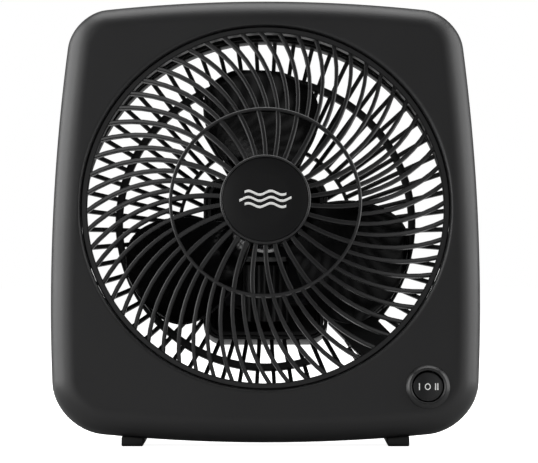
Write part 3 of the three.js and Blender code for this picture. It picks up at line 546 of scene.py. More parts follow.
class BOXFAN_OT_finishes(bpy.types.Operator):
    """Makes the materials and gives the frame's own pieces theirs"""

    bl_idname = "boxfan.finishes"
    bl_label = "Finishes"

    def execute(self, context):
        colours = context.scene.box_fan_colours
        # ABS moulded in a spark-eroded tool: a satin skin whose fine grain softens every reflection
        moulded("satin_abs_case", colours.case, 0.42, 1.1, 0.12, ior=1.54)
        # the same ABS from a smoother tool: ribs with clearer highlights along their edges
        moulded("satin_abs_grille", colours.grille, 0.29, 1.1, 0.05, ior=1.54)
        # ABS with a finer satin than the casing: an even dark disc
        moulded("satin_abs_badge", colours.badge, 0.38, 0.9, 0.04, ior=1.54, level=0.25)
        # styrene-acrylonitrile from a polished tool: deep black with sharp, faint reflections
        moulded("polished_as_blade", colours.blade, 0.14, 6, 0.02, ior=1.57, unevenness=0.03, level=0.22)
        # polypropylene: a slightly waxy black
        moulded("moulded_pp_guard", colours.guard, 0.45, 1.2, 0.1, ior=1.49)
        # glass-filled nylon of switches: denser and a little shinier than the casing
        moulded("moulded_nylon_switch", colours.switch, 0.32, 0.9, 0.05, ior=1.53)
        # moulded rubber: matt, with a coarse skin
        moulded("moulded_rubber_foot", colours.rubber, 0.75, 1.4, 0.3, ior=1.52)
        # glass-filled nylon of the bobbin with a faint bloom; its black is painted shade for the dark inside of the
        # motor housing
        moulded("glass_filled_nylon", "#131314", 0.5, 1.0, 0.08, level=0.35)
        # extruded PVC leads, smooth; their soft black is painted shade for the dark inside of the motor housing
        moulded("extruded_pvc_sleeve", "#101011", 0.4, 2.0, 0.02)
        # pad-printed ink: flat white with thin edges
        moulded("printed_ink_white", colours.print, 0.5, 0.8, 0.03, ior=1.5)
        # zinc-plated screws and a ground shaft
        metallic("zinc_plated_steel", "#A9ABAE", 0.34, 0.8, 0.1)
        # pressed steel laminations, seen edge on as fine lines; their dark grey is painted shade for the dark inside
        # of the motor housing
        laid("varnished_laminations", "#3A3B3E", 0.42, 1.0, 0.8, turn=(LEAN, 0, 0))
        # tape wound round the winding in overlapping turns, 9 mm wide; its near-black colour is painted shade for the
        # dark inside of the motor housing
        laid("wrapped_polyester_tape", "#161618", 0.35, 9.0, 0.0, turn=(0, 0, math.radians(90)))
        # bare copper bands, sintered bronze, die-cast aluminium, stamped brass
        metallic("bare_copper", "#B8694A", 0.35, 1.2, 0.1)
        metallic("sintered_bronze", "#8C6B42", 0.6, 0.5, 0.4)
        metallic("cast_aluminium", "#B4B6B8", 0.5, 0.7, 0.3)
        metallic("stamped_brass", "#C7A352", 0.35, 1.5, 0.1)
        kept = {
            "varnished_laminations": ["stator_core", "rotor_core"],
            "bare_copper": ["shading_ring_1", "shading_ring_2"],
            "glass_filled_nylon": ["coil_bobbin"],
            "wrapped_polyester_tape": ["coil_winding"],
            "cast_aluminium": ["front_bracket", "rear_bracket"],
            "sintered_bronze": ["front_bush", "rear_bush"],
            "stamped_brass": ["thrust_washer_front", "thrust_washer_rear", "switch_terminal_1",
                              "switch_terminal_2", "switch_terminal_3"],
            "zinc_plated_steel": ["motor_shaft", "impeller_clip", "motor_screw_1", "motor_screw_2",
                                  "case_screw_1", "case_screw_2", "case_screw_3", "case_screw_4",
                                  "foot_screw_left", "foot_screw_right"],
            "extruded_pvc_sleeve": ["lead_high", "lead_low", "lead_live", "lead_neutral"],
            "moulded_rubber_foot": ["cord_gland", "foot_left", "foot_right"],
            "satin_abs_case": ["front_shell", "rear_shell"],
            "satin_abs_grille": ["front_grille"],
            "satin_abs_badge": ["hub_badge"],
            "polished_as_blade": ["impeller"],
            "moulded_pp_guard": ["rear_grille", "motor_housing", "wire_duct"],
            "moulded_nylon_switch": ["switch_housing", "rocker"],
        }
        for material, names in kept.items():
            for name in names:
                frame["nodes"][name].material_slots[0].material = bpy.data.materials[material]
        return {"FINISHED"}


# ---------------------------------------------------------------- casing

SWITCH_HOLE = 10.3  # radii of the holes for the switch's barrel, the gland's neck and the casing's screws
GLAND_HOLE = 5.9
SCREW_HOLE = 1.6


def casing_shell(context, name, face_y, open_y, edge, opening, collar, lip):
    """One shell of the casing: a bowed, rounded face with a round opening, and drafted sides."""
    size = context.scene.box_fan_case
    half_width, top, bottom = CASE_HIGH.x, CASE_HIGH.z - FACET, CASE_LOW.z
    widest = size.widest / MM
    inward = 1 if open_y > face_y else -1
    straight = size.front_edge / MM

    def draft(point):
        """The share by which the casing narrows towards the rear, about the impeller's axis."""
        behind = max(point.y - straight, 0)
        x = point.x * (1 - behind * math.tan(size.side_draft) / half_width)
        if point.z > 0:
            z = point.z * (1 - behind * math.tan(size.top_draft) / top)
        else:
            z = point.z * (1 + behind * math.tan(size.under_draft) / bottom)
        return Vector((x, point.y, z))

    def bow(point):
        """Bends the straight sides into the casing's large arcs."""
        side = (point.z - widest) ** 2 / (2 * size.side_arc / MM)
        arc = size.top_arc if point.z > 0 else size.bottom_arc
        rise = point.x**2 / (2 * arc / MM)
        reach = top if point.z > 0 else -bottom
        return Vector((point.x * (1 - side / half_width), point.y, point.z * (1 - rise / reach)))

    deselect()
    bpy.ops.mesh.primitive_plane_add(size=2, location=(0, face_y, (top + bottom) / 2), rotation=(math.pi / 2, 0, 0))
    bpy.ops.transform.resize(value=(half_width, 1, (top - bottom) / 2))
    shell = bpy.context.active_object
    shell.name = name
    bpy.ops.object.transform_apply()
    edit(shell)
    pick("VERT", lambda v: v.co.z > 0)
    bpy.ops.mesh.bevel(offset=size.corner_top / MM, segments=12, affect="VERTICES")
    pick("VERT", lambda v: v.co.z < 0 and close_to(v.co.z, bottom))
    bpy.ops.mesh.bevel(offset=size.corner_bottom / MM, segments=12, affect="VERTICES")
    pick("EDGE", lambda e: e.calc_length() > 60)
    bpy.ops.mesh.subdivide(number_cuts=17)
    bpy.ops.mesh.select_mode(type="FACE")
    bpy.ops.mesh.select_all(action="SELECT")
    # the sides go back in short steps, so that the draft can bend them
    stops = [face_y + inward * (edge + 0.1), (face_y + inward * edge + open_y) / 2, open_y]
    at = face_y
    for stop in stops:
        bpy.ops.mesh.extrude_region_move(TRANSFORM_OT_translate={"value": (0, stop - at, 0)})
        at = stop
    bpy.ops.mesh.delete(type="ONLY_FACE")
    done()
    warp(shell, bow)
    warp(shell, draft)
    edit(shell)
    pick("EDGE", edge_at(lambda p: close_to(p.y, face_y)))
    bpy.ops.mesh.bevel(offset=edge, segments=10, affect="EDGES")
    pick("FACE", lambda f: f.calc_area() > 10000)
    bpy.ops.mesh.delete(type="ONLY_FACE")
    count = pick("VERT", lambda v: v.is_boundary and close_to(v.co.y, face_y))
    # the circle is bridged from 5 mm behind the face and then moved into it, because a bridge between
    # two loops in one plane can join them the wrong way round
    away = inward * 5
    bpy.ops.mesh.primitive_circle_add(vertices=count, radius=opening, location=(0, face_y + away, 0),
                                      rotation=(math.pi / 2, 0, 0))
    pick("EDGE", lambda e: len(e.link_faces) < 2 and edge_at(
        lambda p: close_to(p.y, face_y) or close_to(p.y, face_y + away))(e))
    bpy.ops.mesh.bridge_edge_loops()
    pick("VERT", lambda v: close_to(v.co.y, face_y + away) and close_to(radius_of(v.co), opening, 0.2))
    bpy.ops.transform.translate(value=(0, -away, 0))
    pick("EDGE", edge_at(lambda p: close_to(radius_of(p), opening, 0.2) and close_to(p.y, face_y)))
    bpy.ops.mesh.extrude_region_move(TRANSFORM_OT_translate={"value": (0, inward * collar, 0)})
    pick("EDGE", edge_at(lambda p: close_to(radius_of(p), opening, 0.2) and close_to(p.y, face_y)))
    bpy.ops.mesh.bevel(offset=lip, segments=5, affect="EDGES")
    bpy.ops.mesh.select_all(action="SELECT")
    bpy.ops.mesh.normals_make_consistent(inside=False)
    done()
    faces = [f for f in shell.data.polygons if close_to(f.center.y, face_y) and f.area > 1]
    if sum(f.normal.y * f.area for f in faces) * inward > 0:
        shell.data.flip_normals()
    modify(shell, "SOLIDIFY", thickness=size.wall / MM, offset=-1, use_even_offset=True)
    return shell


class BOXFAN_OT_front_shell(bpy.types.Operator):
    """Models the front shell: its face, rounded edge, drafted sides and the lip round the opening"""

    bl_idname = "boxfan.front_shell"
    bl_label = "Front shell"

    def execute(self, context):
        size = context.scene.box_fan_case
        shell = casing_shell(context, "casing_front", CASE_LOW.y, REAR_LOW.y - CLEARANCE, size.front_edge / MM,
                             size.opening / MM, size.collar / MM, size.lip / MM)
        middle = middle_of("switch_housing")
        drilled(shell, SWITCH_HOLE, (middle.x, 0, middle.z), 8, vertices=64)
        smooth(shell)
        modify(shell, "WEIGHTED_NORMAL", keep_sharp=True)
        place(shell, "satin_abs_case", "root", ["front_shell"])
        return {"FINISHED"}


class BOXFAN_OT_rear_shell(bpy.types.Operator):
    """Models the rear shell with its round opening and inner collar"""

    bl_idname = "boxfan.rear_shell"
    bl_label = "Rear shell"

    def execute(self, context):
        size = context.scene.box_fan_case
        shell = casing_shell(context, "casing_rear", REAR_HIGH.y, REAR_LOW.y, size.rear_edge / MM,
                             size.rear_opening / MM, size.rear_collar / MM, size.lip / MM)
        middle = middle_of("cord_gland")
        drilled(shell, GLAND_HOLE, (middle.x, REAR_HIGH.y, middle.z), 12, vertices=48)
        duct = context.scene.box_fan_duct
        cut_away(shell, duct_bar("duct_way", CLEARANCE, duct.inner / MM, duct.outer / MM, 0.6))
        for screw in CASE_SCREWS:
            middle = middle_of(screw)
            drilled(shell, SCREW_HOLE, (middle.x, REAR_HIGH.y, middle.z), 12)
        smooth(shell)
        modify(shell, "WEIGHTED_NORMAL", keep_sharp=True)
        place(shell, "satin_abs_case", "root", ["rear_shell"])
        return {"FINISHED"}


# ---------------------------------------------------------------- front grille


class BOXFAN_OT_front_grille(bpy.types.Operator):
    """Models the domed spiral grille: rim, middle ring, hub and curved ribs"""

    bl_idname = "boxfan.front_grille"
    bl_label = "Front grille"

    def execute(self, context):
        size = context.scene.box_fan_grille
        hub, middle, rim = size.hub / MM, size.middle_ring / MM, size.rim / MM
        depth = size.rib_depth / MM
        rim_front = GRILLE_HIGH.y - 7
        outer = GRILLE_HIGH.x + 0.55  # closes the play round the rim, so that no light comes through
        hub_front = GRILLE_LOW.y
        badge = size.badge / MM

        def dome(radius):
            return rim_front + 0.5 - size.dome / MM * (1 - (radius / rim) ** size.dome_power)

        def spine(radius):
            share = max(radius - hub, 0) / (rim - hub)
            return Vector(clock(radius, -math.degrees(size.sweep) * share**size.sweep_power))

        def laid_along(inner, outer_radius):
            def change(p):
                radius = inner + (outer_radius - inner) * p.z
                here = spine(radius)
                along = (spine(radius + 0.5) - spine(radius - 0.5)).normalized()
                x = here.x + along.y * p.x
                z = here.y - along.x * p.x
                return Vector((x, dome(radius) + p.y, z))
            return change

        pieces = []
        # flat narrow chamfers, which catch the side lights as thin lines
        inner_rib = bar("rib", size.rib_width / MM, depth, 8, 0.55, 1)
        outer_rib = bar("rib", size.outer_rib_width / MM, depth, 8, 0.55, 1)
        warp(inner_rib, laid_along(hub - 0.8, middle))
        warp(outer_rib, laid_along(middle, rim + 1))
        for rib, count in ((inner_rib, size.ribs), (outer_rib, 2 * size.ribs)):
            pieces.append(rib)
            pieces += [turned(copy_of(rib, "rib"), 360 * i / count) for i in range(1, count)]
        pieces.append(spun("rim", [(rim, rim_front), (outer, rim_front), (outer, rim_front + 7),
                                   (rim, rim_front + 7)], 180, rounding=0.6, segments=1))
        front = dome(middle) - 0.4
        half = 0.95
        pieces.append(spun("ring", [(middle - half, front), (middle + half, front),
                                    (middle + half, front + depth + 0.8), (middle - half, front + depth + 0.8)],
                           144, rounding=0.5, segments=1))
        pieces.append(spun("hub", [(0, hub_front + 1.4), (badge, hub_front + 1.4), (badge, hub_front),
                                   (hub, hub_front), (hub, hub_front + 8), (hub - 2, hub_front + 8),
                                   (hub - 2, hub_front + 3.4), (0, hub_front + 3.4)], 144, rounding=0.4,
                           segments=1))
        grille = joined(pieces, "spiral_grille")
        smooth(grille, 32)
        place(grille, "satin_abs_grille", "root", ["front_grille"])
        return {"FINISHED"}


class BOXFAN_OT_badge(bpy.types.Operator):
    """Models the hub badge and its printed mark of three waves"""

    bl_idname = "boxfan.badge"
    bl_label = "Hub badge"

    def execute(self, context):
        low, high = cad("hub_badge")
        edge = high.x
        disc = spun("badge_disc", [(0, low.y), (edge * 0.6, low.y + 0.15), (edge, low.y + 0.8), (edge, high.y),
                                   (0, high.y)], 144, rounding=0.3)
        smooth(disc)
        place(disc, "satin_abs_badge", "root", ["hub_badge"])
        waves = []
        for row in range(3):
            wave = bar("wave", 1.5, 0.5, 40, 0.15)
            width = 30 - 6 * abs(row - 1)

            def bend(p, width=width, row=row):
                x = (p.z - 0.5) * width
                crest = 1.1 * math.sin(2 * math.pi * x / 13)
                return Vector((x, low.y + 0.35 * (x / edge) ** 2 - 0.12 + p.y, crest + p.x + 3.6 * (1 - row)))

            warp(wave, bend)
            waves.append(wave)
        mark = joined(waves, "badge_waves")
        outward(mark)
        smooth(mark)
        place(mark, "printed_ink_white", "root", [])
        return {"FINISHED"}


# ---------------------------------------------------------------- rear guard, motor housing and wire duct

GUARD_FRAME = 2.2  # wall of the guard's frame round the housing
FRAME_DEPTH = 22.0
DUCT_WAY = (30, 120)  # a cutter for the wire duct reaches from inside the housing to beyond the guard's rim


def rounded_outline(name, margin, y, corner):
    """The housing's outline as one flat face, grown by a margin, with rounded corners."""
    middle = (PAN_LOW + PAN_HIGH) / 2
    deselect()
    bpy.ops.mesh.primitive_plane_add(size=2, location=(middle.x, y, middle.z), rotation=(math.pi / 2, 0, 0))
    bpy.ops.transform.resize(value=((PAN_HIGH.x - PAN_LOW.x) / 2 + margin, 1, (PAN_HIGH.z - PAN_LOW.z) / 2 + margin))
    outline = bpy.context.active_object
    outline.name = name
    bpy.ops.object.transform_apply()
    edit(outline)
    bpy.ops.mesh.select_all(action="SELECT")
    # the offset of a vertex bevel runs along the sides, and its profile is a quarter circle
    bpy.ops.mesh.bevel(offset=corner, segments=8, affect="VERTICES")
    bpy.ops.mesh.select_mode(type="FACE")
    bpy.ops.mesh.select_all(action="SELECT")
    return outline


def frame_distance(degrees):
    """How far the guard's frame lies from the fan's axis at a clock angle."""
    x, z = clock(1, degrees)
    reach = [(PAN_HIGH.x + CLEARANCE) / abs(x)] if abs(x) > 0.01 else []
    reach += [(PAN_HIGH.z + CLEARANCE) / z] if z > 0.01 else []
    reach += [(PAN_LOW.z - CLEARANCE) / z] if z < -0.01 else []
    return min(reach)


def duct_bar(name, grow, near, far, rounding):
    """The wire duct's outer shape between two distances from the axis, as a bar that slopes with the guard."""
    size = bpy.context.scene.box_fan_duct
    inner, outer = size.inner / MM, size.outer / MM
    rise = (size.outer_y - size.inner_y) / MM
    slope = math.atan2(rise, outer - inner)
    half = Vector((size.width / MM / 2 + grow, size.depth / MM / 2 + grow, 0))
    duct = rounded_block(name, (-half.x, -half.y, near - inner), (half.x, half.y, far - inner), rounding)
    spot = Matrix.Translation((0, size.inner_y / MM, inner))
    turn = Matrix.Rotation(size.angle, 4, "Y")
    duct.data.transform(turn @ spot @ Matrix.Rotation(-slope, 4, "X"))
    return duct


class BOXFAN_OT_rear_grille(bpy.types.Operator):
    """Models the rear guard: rim, rings, bars and the frame that holds the motor housing"""

    bl_idname = "boxfan.rear_grille"
    bl_label = "Rear grille"

    def execute(self, context):
        size = context.scene.box_fan_guard
        duct = context.scene.box_fan_duct
        width, depth = size.bar_width / MM, size.bar_depth / MM
        rim, rim_y = size.rim / MM + 0.3, size.rim_y / MM
        thick, thick_y = size.thick_ring / MM, size.thick_y / MM
        thin, thin_y = size.thin_ring / MM, size.thin_y / MM
        duct_half = duct.width / MM / 2 + CLEARANCE
        duct_angle = math.degrees(duct.angle)

        def guard_y(radius):
            """Depth of the bars at a radius, in straight runs from the rim over the rings."""
            a, b = ((rim, rim_y), (thick, thick_y)) if radius > thick else ((thick, thick_y), (thin, thin_y))
            return a[1] + (radius - a[0]) * (b[1] - a[1]) / (b[0] - a[0])

        def hoop(name, low, high, front, rear):
            """A ring with a gap where the wire duct passes."""
            gap = math.degrees(math.asin(duct_half / low))
            return spun(name, [(low, front), (high, front), (high, rear), (low, rear)], 120, rounding=0.6,
                        segments=2, turn=360 - 2 * gap, start=duct_angle + gap)

        pieces = [
            hoop("rim", size.rim / MM, GUARD_HIGH.x, GUARD_LOW.y, GUARD_LOW.y + 9),
            hoop("thick_ring", thick - size.thick_width / MM / 2, thick + size.thick_width / MM / 2, thick_y - 0.6,
                 thick_y + depth + 0.6),
            hoop("thin_ring", thin - size.thin_width / MM / 2, thin + size.thin_width / MM / 2, thin_y - 0.6,
                 thin_y + depth + 0.6),
        ]
        template = bar("guard_bar", width, depth, 1, 0.55)
        for i in range(size.bars):
            degrees = (i + 0.5) * 360 / size.bars
            aside = math.radians((degrees - duct_angle + 180) % 360 - 180)
            beside = abs(aside) < math.pi / 2
            blocked = (duct_half + width / 2) / max(math.sin(abs(aside)), 0.02) if beside else 0
            frame_at = frame_distance(degrees)
            runs = [(rim, thick), (thick, max(thin, frame_at))]
            if i % 2 == 0 and frame_at < thin:
                runs.append((thin, frame_at))
            for far, near in runs:
                near = max(near, blocked)
                if far - near < 2:
                    continue
                piece = copy_of(template, "guard_bar")

                def lay(p, far=far, near=near):
                    radius = near + (far - near) * p.z
                    return Vector((p.x, guard_y(radius) + p.y, radius))

                warp(piece, lay)
                pieces.append(turned(piece, degrees))
        bpy.data.objects.remove(template)
        corner = context.scene.box_fan_housing.corner / MM
        surround = rounded_outline("surround", CLEARANCE, PAN_LOW.y, corner + CLEARANCE)
        bpy.ops.mesh.extrude_region_move(TRANSFORM_OT_translate={"value": (0, FRAME_DEPTH, 0)})
        pick("FACE", lambda f: abs(f.normal.y) > 0.9)
        bpy.ops.mesh.delete(type="ONLY_FACE")
        done()
        outward(surround)
        modify(surround, "SOLIDIFY", thickness=GUARD_FRAME, offset=1, use_even_offset=True)
        outward(surround)
        modify(surround, "BEVEL", width=0.5, segments=2, limit_method="ANGLE")
        cut_away(surround, duct_bar("duct_way", CLEARANCE, *DUCT_WAY, 0.6))
        pieces.append(surround)
        guard = joined(pieces, "rear_guard")
        smooth(guard, 50)
        place(guard, "moulded_pp_guard", "root", ["rear_grille"])
        return {"FINISHED"}


class BOXFAN_OT_motor_housing(bpy.types.Operator):
    """Models the motor housing with its rounded back, a raised border and the cooling slots"""

    bl_idname = "boxfan.motor_housing"
    bl_label = "Motor housing"

    def execute(self, context):
        size = context.scene.box_fan_housing
        rear = PAN_HIGH.y
        housing = rounded_outline("motor_housing_shell", 0, rear, size.corner / MM)
        # a shallow panel inside the border of the back
        bpy.ops.mesh.inset(thickness=size.border / MM)
        bpy.ops.mesh.inset(thickness=size.panel / MM)
        bpy.ops.transform.translate(value=(0, -size.panel / MM, 0))
        pick("EDGE", lambda e: e.is_boundary)
        bpy.ops.mesh.extrude_region_move(TRANSFORM_OT_translate={"value": (0, PAN_LOW.y - rear, 0)})
        pick("EDGE", lambda e: len(e.link_faces) == 2 and close_to(e.verts[0].co.y, rear)
             and close_to(e.verts[1].co.y, rear) and any(abs(f.normal.y) < 0.5 for f in e.link_faces))
        bpy.ops.mesh.bevel(offset=size.edge / MM, segments=5, affect="EDGES")
        bpy.ops.mesh.select_all(action="SELECT")
        bpy.ops.mesh.normals_make_consistent(inside=False)
        done()
        modify(housing, "SOLIDIFY", thickness=size.wall / MM, offset=-1, use_even_offset=True)
        outward(housing)
        half, height = size.vent_length / MM / 2, size.vent_height / MM
        for row in range(size.vents):
            z = PAN_LOW.z + (size.vent_start + row * size.vent_pitch) / MM
            slot = rounded_block("vent", (-half, rear - 6, z), (half, rear + 2, z + height), 1.0)
            cut_away(housing, slot)
        cut_away(housing, duct_bar("duct_way", CLEARANCE, *DUCT_WAY, 0.6))
        smooth(housing)
        modify(housing, "WEIGHTED_NORMAL", keep_sharp=True)
        place(housing, "moulded_pp_guard", "root", ["motor_housing"])
        return {"FINISHED"}


class BOXFAN_OT_wire_duct(bpy.types.Operator):
    """Models the flat duct that leads the wires from the casing to the motor housing"""

    bl_idname = "boxfan.wire_duct"
    bl_label = "Wire duct"

    def execute(self, context):
        size = context.scene.box_fan_duct
        duct = duct_bar("wire_duct_cover", 0, size.inner / MM, size.outer / MM, 1.2)
        edit(duct)
        bpy.ops.mesh.select_all(action="SELECT")
        bpy.ops.mesh.bisect(plane_co=(PAN_HIGH.x + 2 * CLEARANCE + GUARD_FRAME, 0, 0), plane_no=(1, 0, 0),
                            use_fill=True, clear_inner=True)
        done()
        outward(duct)
        smooth(duct)
        modify(duct, "WEIGHTED_NORMAL", keep_sharp=True)
        place(duct, "moulded_pp_guard", "root", ["wire_duct"])
        return {"FINISHED"}


# ---------------------------------------------------------------- impeller


class BOXFAN_OT_impeller(bpy.types.Operator):
    """Models the hub and the paddles of the impeller"""

    bl_idname = "boxfan.impeller"
    bl_label = "Impeller"

    # from root to tip: radius, angle of the forward and of the rear edge, and depth along the axis
    ROWS = (
        (18.5, -31.0, 24.0, 22.0), (30.0, -34.0, 32.0, 25.0), (45.0, -35.0, 36.0, 27.0),
        (60.0, -31.5, 35.0, 27.0), (72.0, -27.0, 31.0, 25.0), (80.0, -22.5, 26.5, 22.0),
        (85.5, -17.0, 21.0, 18.0), (88.5, -8.0, 11.0, 11.0),
    )

    def execute(self, context):
        size = context.scene.box_fan_impeller
        columns, rows = 9, len(self.ROWS)
        thickness = size.thickness / MM

        def paddle_point(p):
            radius, forward, behind, depth = self.ROWS[round((p.y + 1) / 2 * (rows - 1))]
            share = (p.x + 1) / 2
            x, z = clock(radius, forward + (behind - forward) * share)
            bow = size.camber / MM * 4 * share * (1 - share)
            return Vector((x, size.middle / MM + (share - 0.5) * depth + bow, z))

        deselect()
        bpy.ops.mesh.primitive_grid_add(x_subdivisions=columns - 1, y_subdivisions=rows - 1, size=2)
        paddle = context.active_object
        warp(paddle, paddle_point)
        modify(paddle, "SOLIDIFY", thickness=thickness, offset=0, use_even_offset=True)
        edit(paddle)
        bpy.ops.mesh.select_all(action="SELECT")
        bpy.ops.mesh.normals_make_consistent(inside=False)
        # narrow loops keep the edges crisp under subdivision
        pick("EDGE", lambda e: e.calc_face_angle(0) > math.radians(60))
        bpy.ops.mesh.bevel(offset=0.45, segments=2, affect="EDGES")
        done()
        modify(paddle, "SUBSURF", levels=2, render_levels=2)
        first, pitch = math.degrees(size.first), 360 / size.blades
        pieces = [turned(copy_of(paddle, "paddle"), first + pitch * i) for i in range(size.blades)]
        bpy.data.objects.remove(paddle)
        radius, wall = size.hub / MM, size.thickness / MM + 0.1
        boss, bore = 6.5, 2.8
        front, rear = cad("impeller")[0].y, size.hub_rear / MM
        floor = front + 5.5
        pieces.append(spun("hub", [(0, front), (radius * 0.6, front + 0.5), (radius * 0.9, front + 2.5),
                                   (radius, front + 5), (radius, rear), (radius - wall, rear),
                                   (radius - wall, floor), (boss, floor - 1.5), (boss, rear - 4),
                                   (bore, rear - 4), (bore, floor), (0, floor)], 96, rounding=0.6))
        impeller = joined(pieces, "impeller_paddles")
        smooth(impeller, 40)
        place(impeller, "polished_as_blade", "rotor", ["impeller"])
        return {"FINISHED"}


# ---------------------------------------------------------------- switch


class BOXFAN_OT_switch(bpy.types.Operator):
    """Models the round bezel, the dished rocker and its printed positions"""

    bl_idname = "boxfan.switch"
    bl_label = "Rocker switch"

    def execute(self, context):
        size = context.scene.box_fan_switch
        middle = middle_of("switch_housing")
        spot = Matrix.Translation((middle.x, 0, middle.z))
        edge = (BEZEL_HIGH.x - BEZEL_LOW.x) / 2
        rocker_edge = (ROCKER_HIGH.x - ROCKER_LOW.x) / 2
        well, barrel = rocker_edge + 0.8, rocker_edge + 1.45
        front = BEZEL_LOW.y
        bezel = spun("switch_bezel", [(well, front + 0.5), (well + 1.2, front), (edge - 1, front * 0.55),
                                      (edge, -0.3), (barrel, -0.3), (barrel, BEZEL_HIGH.y), (0, BEZEL_HIGH.y),
                                      (0, BEZEL_HIGH.y - 5), (well, BEZEL_HIGH.y - 5)], 96, rounding=0.25)
        smooth(bezel)
        place(bezel, "moulded_nylon_switch", "root", ["switch_housing"], FAN @ spot)
        face = ROCKER_LOW.y
        dish, dish_radius = size.dish / MM, size.dish_radius / MM
        button = spun("rocker_button", [(0, face), (rocker_edge * 0.35, face), (rocker_edge * 0.7, face),
                                        (rocker_edge, face), (rocker_edge, 5.6), (0, 5.6)], 96, rounding=0.0)
        edit(button)
        pick("EDGE", edge_at(lambda p: close_to(p.y, face) and close_to(radius_of(p), rocker_edge)))
        bpy.ops.mesh.bevel(offset=0.6, segments=4, affect="EDGES")
        for step in range(-5, 6):
            bpy.ops.mesh.select_all(action="SELECT")
            bpy.ops.mesh.bisect(plane_co=(step * 1.4, 0, 0), plane_no=(1, 0, 0))
        done()

        def sink(p):
            """Presses the front face in along a wide cylinder that lies upright."""
            depth = max(dish - dish_radius + math.sqrt(dish_radius**2 - p.x**2), 0)
            share = 1 - min(max(p.y - face, 0) / 3, 1)
            return Vector((p.x, p.y + depth * share, p.z))

        warp(button, sink)
        smooth(button)
        place(button, "moulded_nylon_switch", "rocker", ["rocker"], FAN @ spot)
        high, thin = size.mark_height / MM, size.mark_width / MM
        ink, seat = face - 0.06, face + 0.3
        # one bar on the left, two on the right and a slightly tall ring between them
        marks = [rounded_block("mark", (x - thin / 2, ink, -high / 2), (x + thin / 2, seat, high / 2), 0.04, 1)
                 for x in (-5, 4.3, 5.6)]
        ring = spun("mark", [(1.2, ink), (1.7, ink), (1.7, seat), (1.2, seat)], 32, rounding=0.04, segments=1)
        ring.data.transform(Matrix.Translation((-0.2, 0, 0)) @ Matrix.Scale(high / 3.5, 4, (0, 0, 1)))
        marks.append(ring)
        legend = joined(marks, "rocker_legend")
        warp(legend, sink)
        outward(legend)
        place(legend, "printed_ink_white", "rocker", [], FAN @ spot)
        return {"FINISHED"}


# ---------------------------------------------------------------- feet, screws and gland


class BOXFAN_OT_feet(bpy.types.Operator):
    """Models the two foot bars, with rounded ends and a heel behind the casing"""

    bl_idname = "boxfan.feet"
    bl_label = "Feet"

    def execute(self, context):
        # the feet lie flat on the floor, so they are modelled in the row frame's millimetres
        to_mm = Matrix.Scale(1 / MM, 4)
        for side in ("left", "right"):
            name = f"foot_{side}"
            points = points_of(name, to_mm)
            low, high = corners(points)
            step = min(p.y for p in points if p.z > high.z - 0.1)
            top = max(p.z for p in points if p.y < step - 1)
            outline = [(low.y, 0), (high.y, 0), (high.y, high.z - 2.5), (high.y - 22, high.z), (step, high.z),
                       (step, top), (low.y, top)]
            deselect()
            bpy.ops.mesh.primitive_circle_add(vertices=len(outline), radius=1, fill_type="NGON")
            foot = context.active_object
            for vertex, (y, z) in zip(foot.data.vertices, outline):
                vertex.co = (low.x, y, z)
            edit(foot)
            pick("VERT", lambda v: close_to(v.co.z, 0))
            bpy.ops.mesh.bevel(offset=2.2, segments=6, affect="VERTICES")
            bpy.ops.mesh.select_mode(type="FACE")
            bpy.ops.mesh.select_all(action="SELECT")
            bpy.ops.mesh.extrude_region_move(TRANSFORM_OT_translate={"value": (high.x - low.x, 0, 0)})
            done()
            outward(foot)
            modify(foot, "BEVEL", width=0.8, segments=3, limit_method="ANGLE", angle_limit=math.radians(40))
            inner = min(abs(low.x), abs(high.x))

            def follow(p, step=step, top=top, inner=inner):
                """Lifts the front part's top to the bowed underside of the casing."""
                lift = (p.x**2 - inner**2) / 2000 + 0.5 if p.y < step and p.z > top / 2 else 0
                return Vector((p.x, p.y, p.z + lift))

            warp(foot, follow)
            screw_low, screw_high = corners(points_of(f"foot_screw_{side}", to_mm))
            drilled(foot, 3.5, ((low.x + high.x) / 2, (screw_low.y + screw_high.y) / 2, 0), 5.2, 32, (0, 0, 0))
            smooth(foot)
            foot.name = f"foot_bar_{side}"
            place(foot, "moulded_rubber_foot", "root", [name], Matrix.Scale(MM, 4))
        return {"FINISHED"}


class BOXFAN_OT_fasteners(bpy.types.Operator):
    """Models the cross-recessed casing screws and the cord gland"""

    bl_idname = "boxfan.fasteners"
    bl_label = "Screws and gland"

    def execute(self, context):
        for i, name in enumerate(CASE_SCREWS, 1):
            low, high = cad(name)
            middle = (low + high) / 2
            head = (high.x - low.x) / 2
            seat = high.y - 1.8
            screw = spun("screw", [(0, high.y), (head - 0.8, high.y), (head, seat + 0.6), (head, seat),
                                   (1.3, seat), (1.3, low.y), (0, low.y)], 32, rounding=0.25, segments=2)
            for wide, tall in ((1.8, 0.4), (0.4, 1.8)):
                recess = rounded_block("recess", (-wide, high.y - 1, -tall), (wide, high.y + 1, tall), 0.05, 1)
                cut_away(screw, recess)
            turned(screw, 25 * i)
            smooth(screw)
            screw.name = f"casing_screw_{i}"
            place(screw, "zinc_plated_steel", "root", [name],
                  FAN @ Matrix.Translation((middle.x, 0, middle.z)))
        low, high = cad("cord_gland")
        middle = (low + high) / 2
        flange = (high.x - low.x) / 2
        seat = REAR_HIGH.y + CLEARANCE
        gland = spun("gland_ring", [(4, low.y), (flange - 1.6, low.y), (flange - 1.6, seat), (flange, seat),
                                    (flange - 0.8, high.y), (4, high.y)], 64, rounding=0.5)
        smooth(gland)
        place(gland, "moulded_rubber_foot", "root", ["cord_gland"],
              FAN @ Matrix.Translation((middle.x, 0, middle.z)))
        return {"FINISHED"}


# ---------------------------------------------------------------- stage


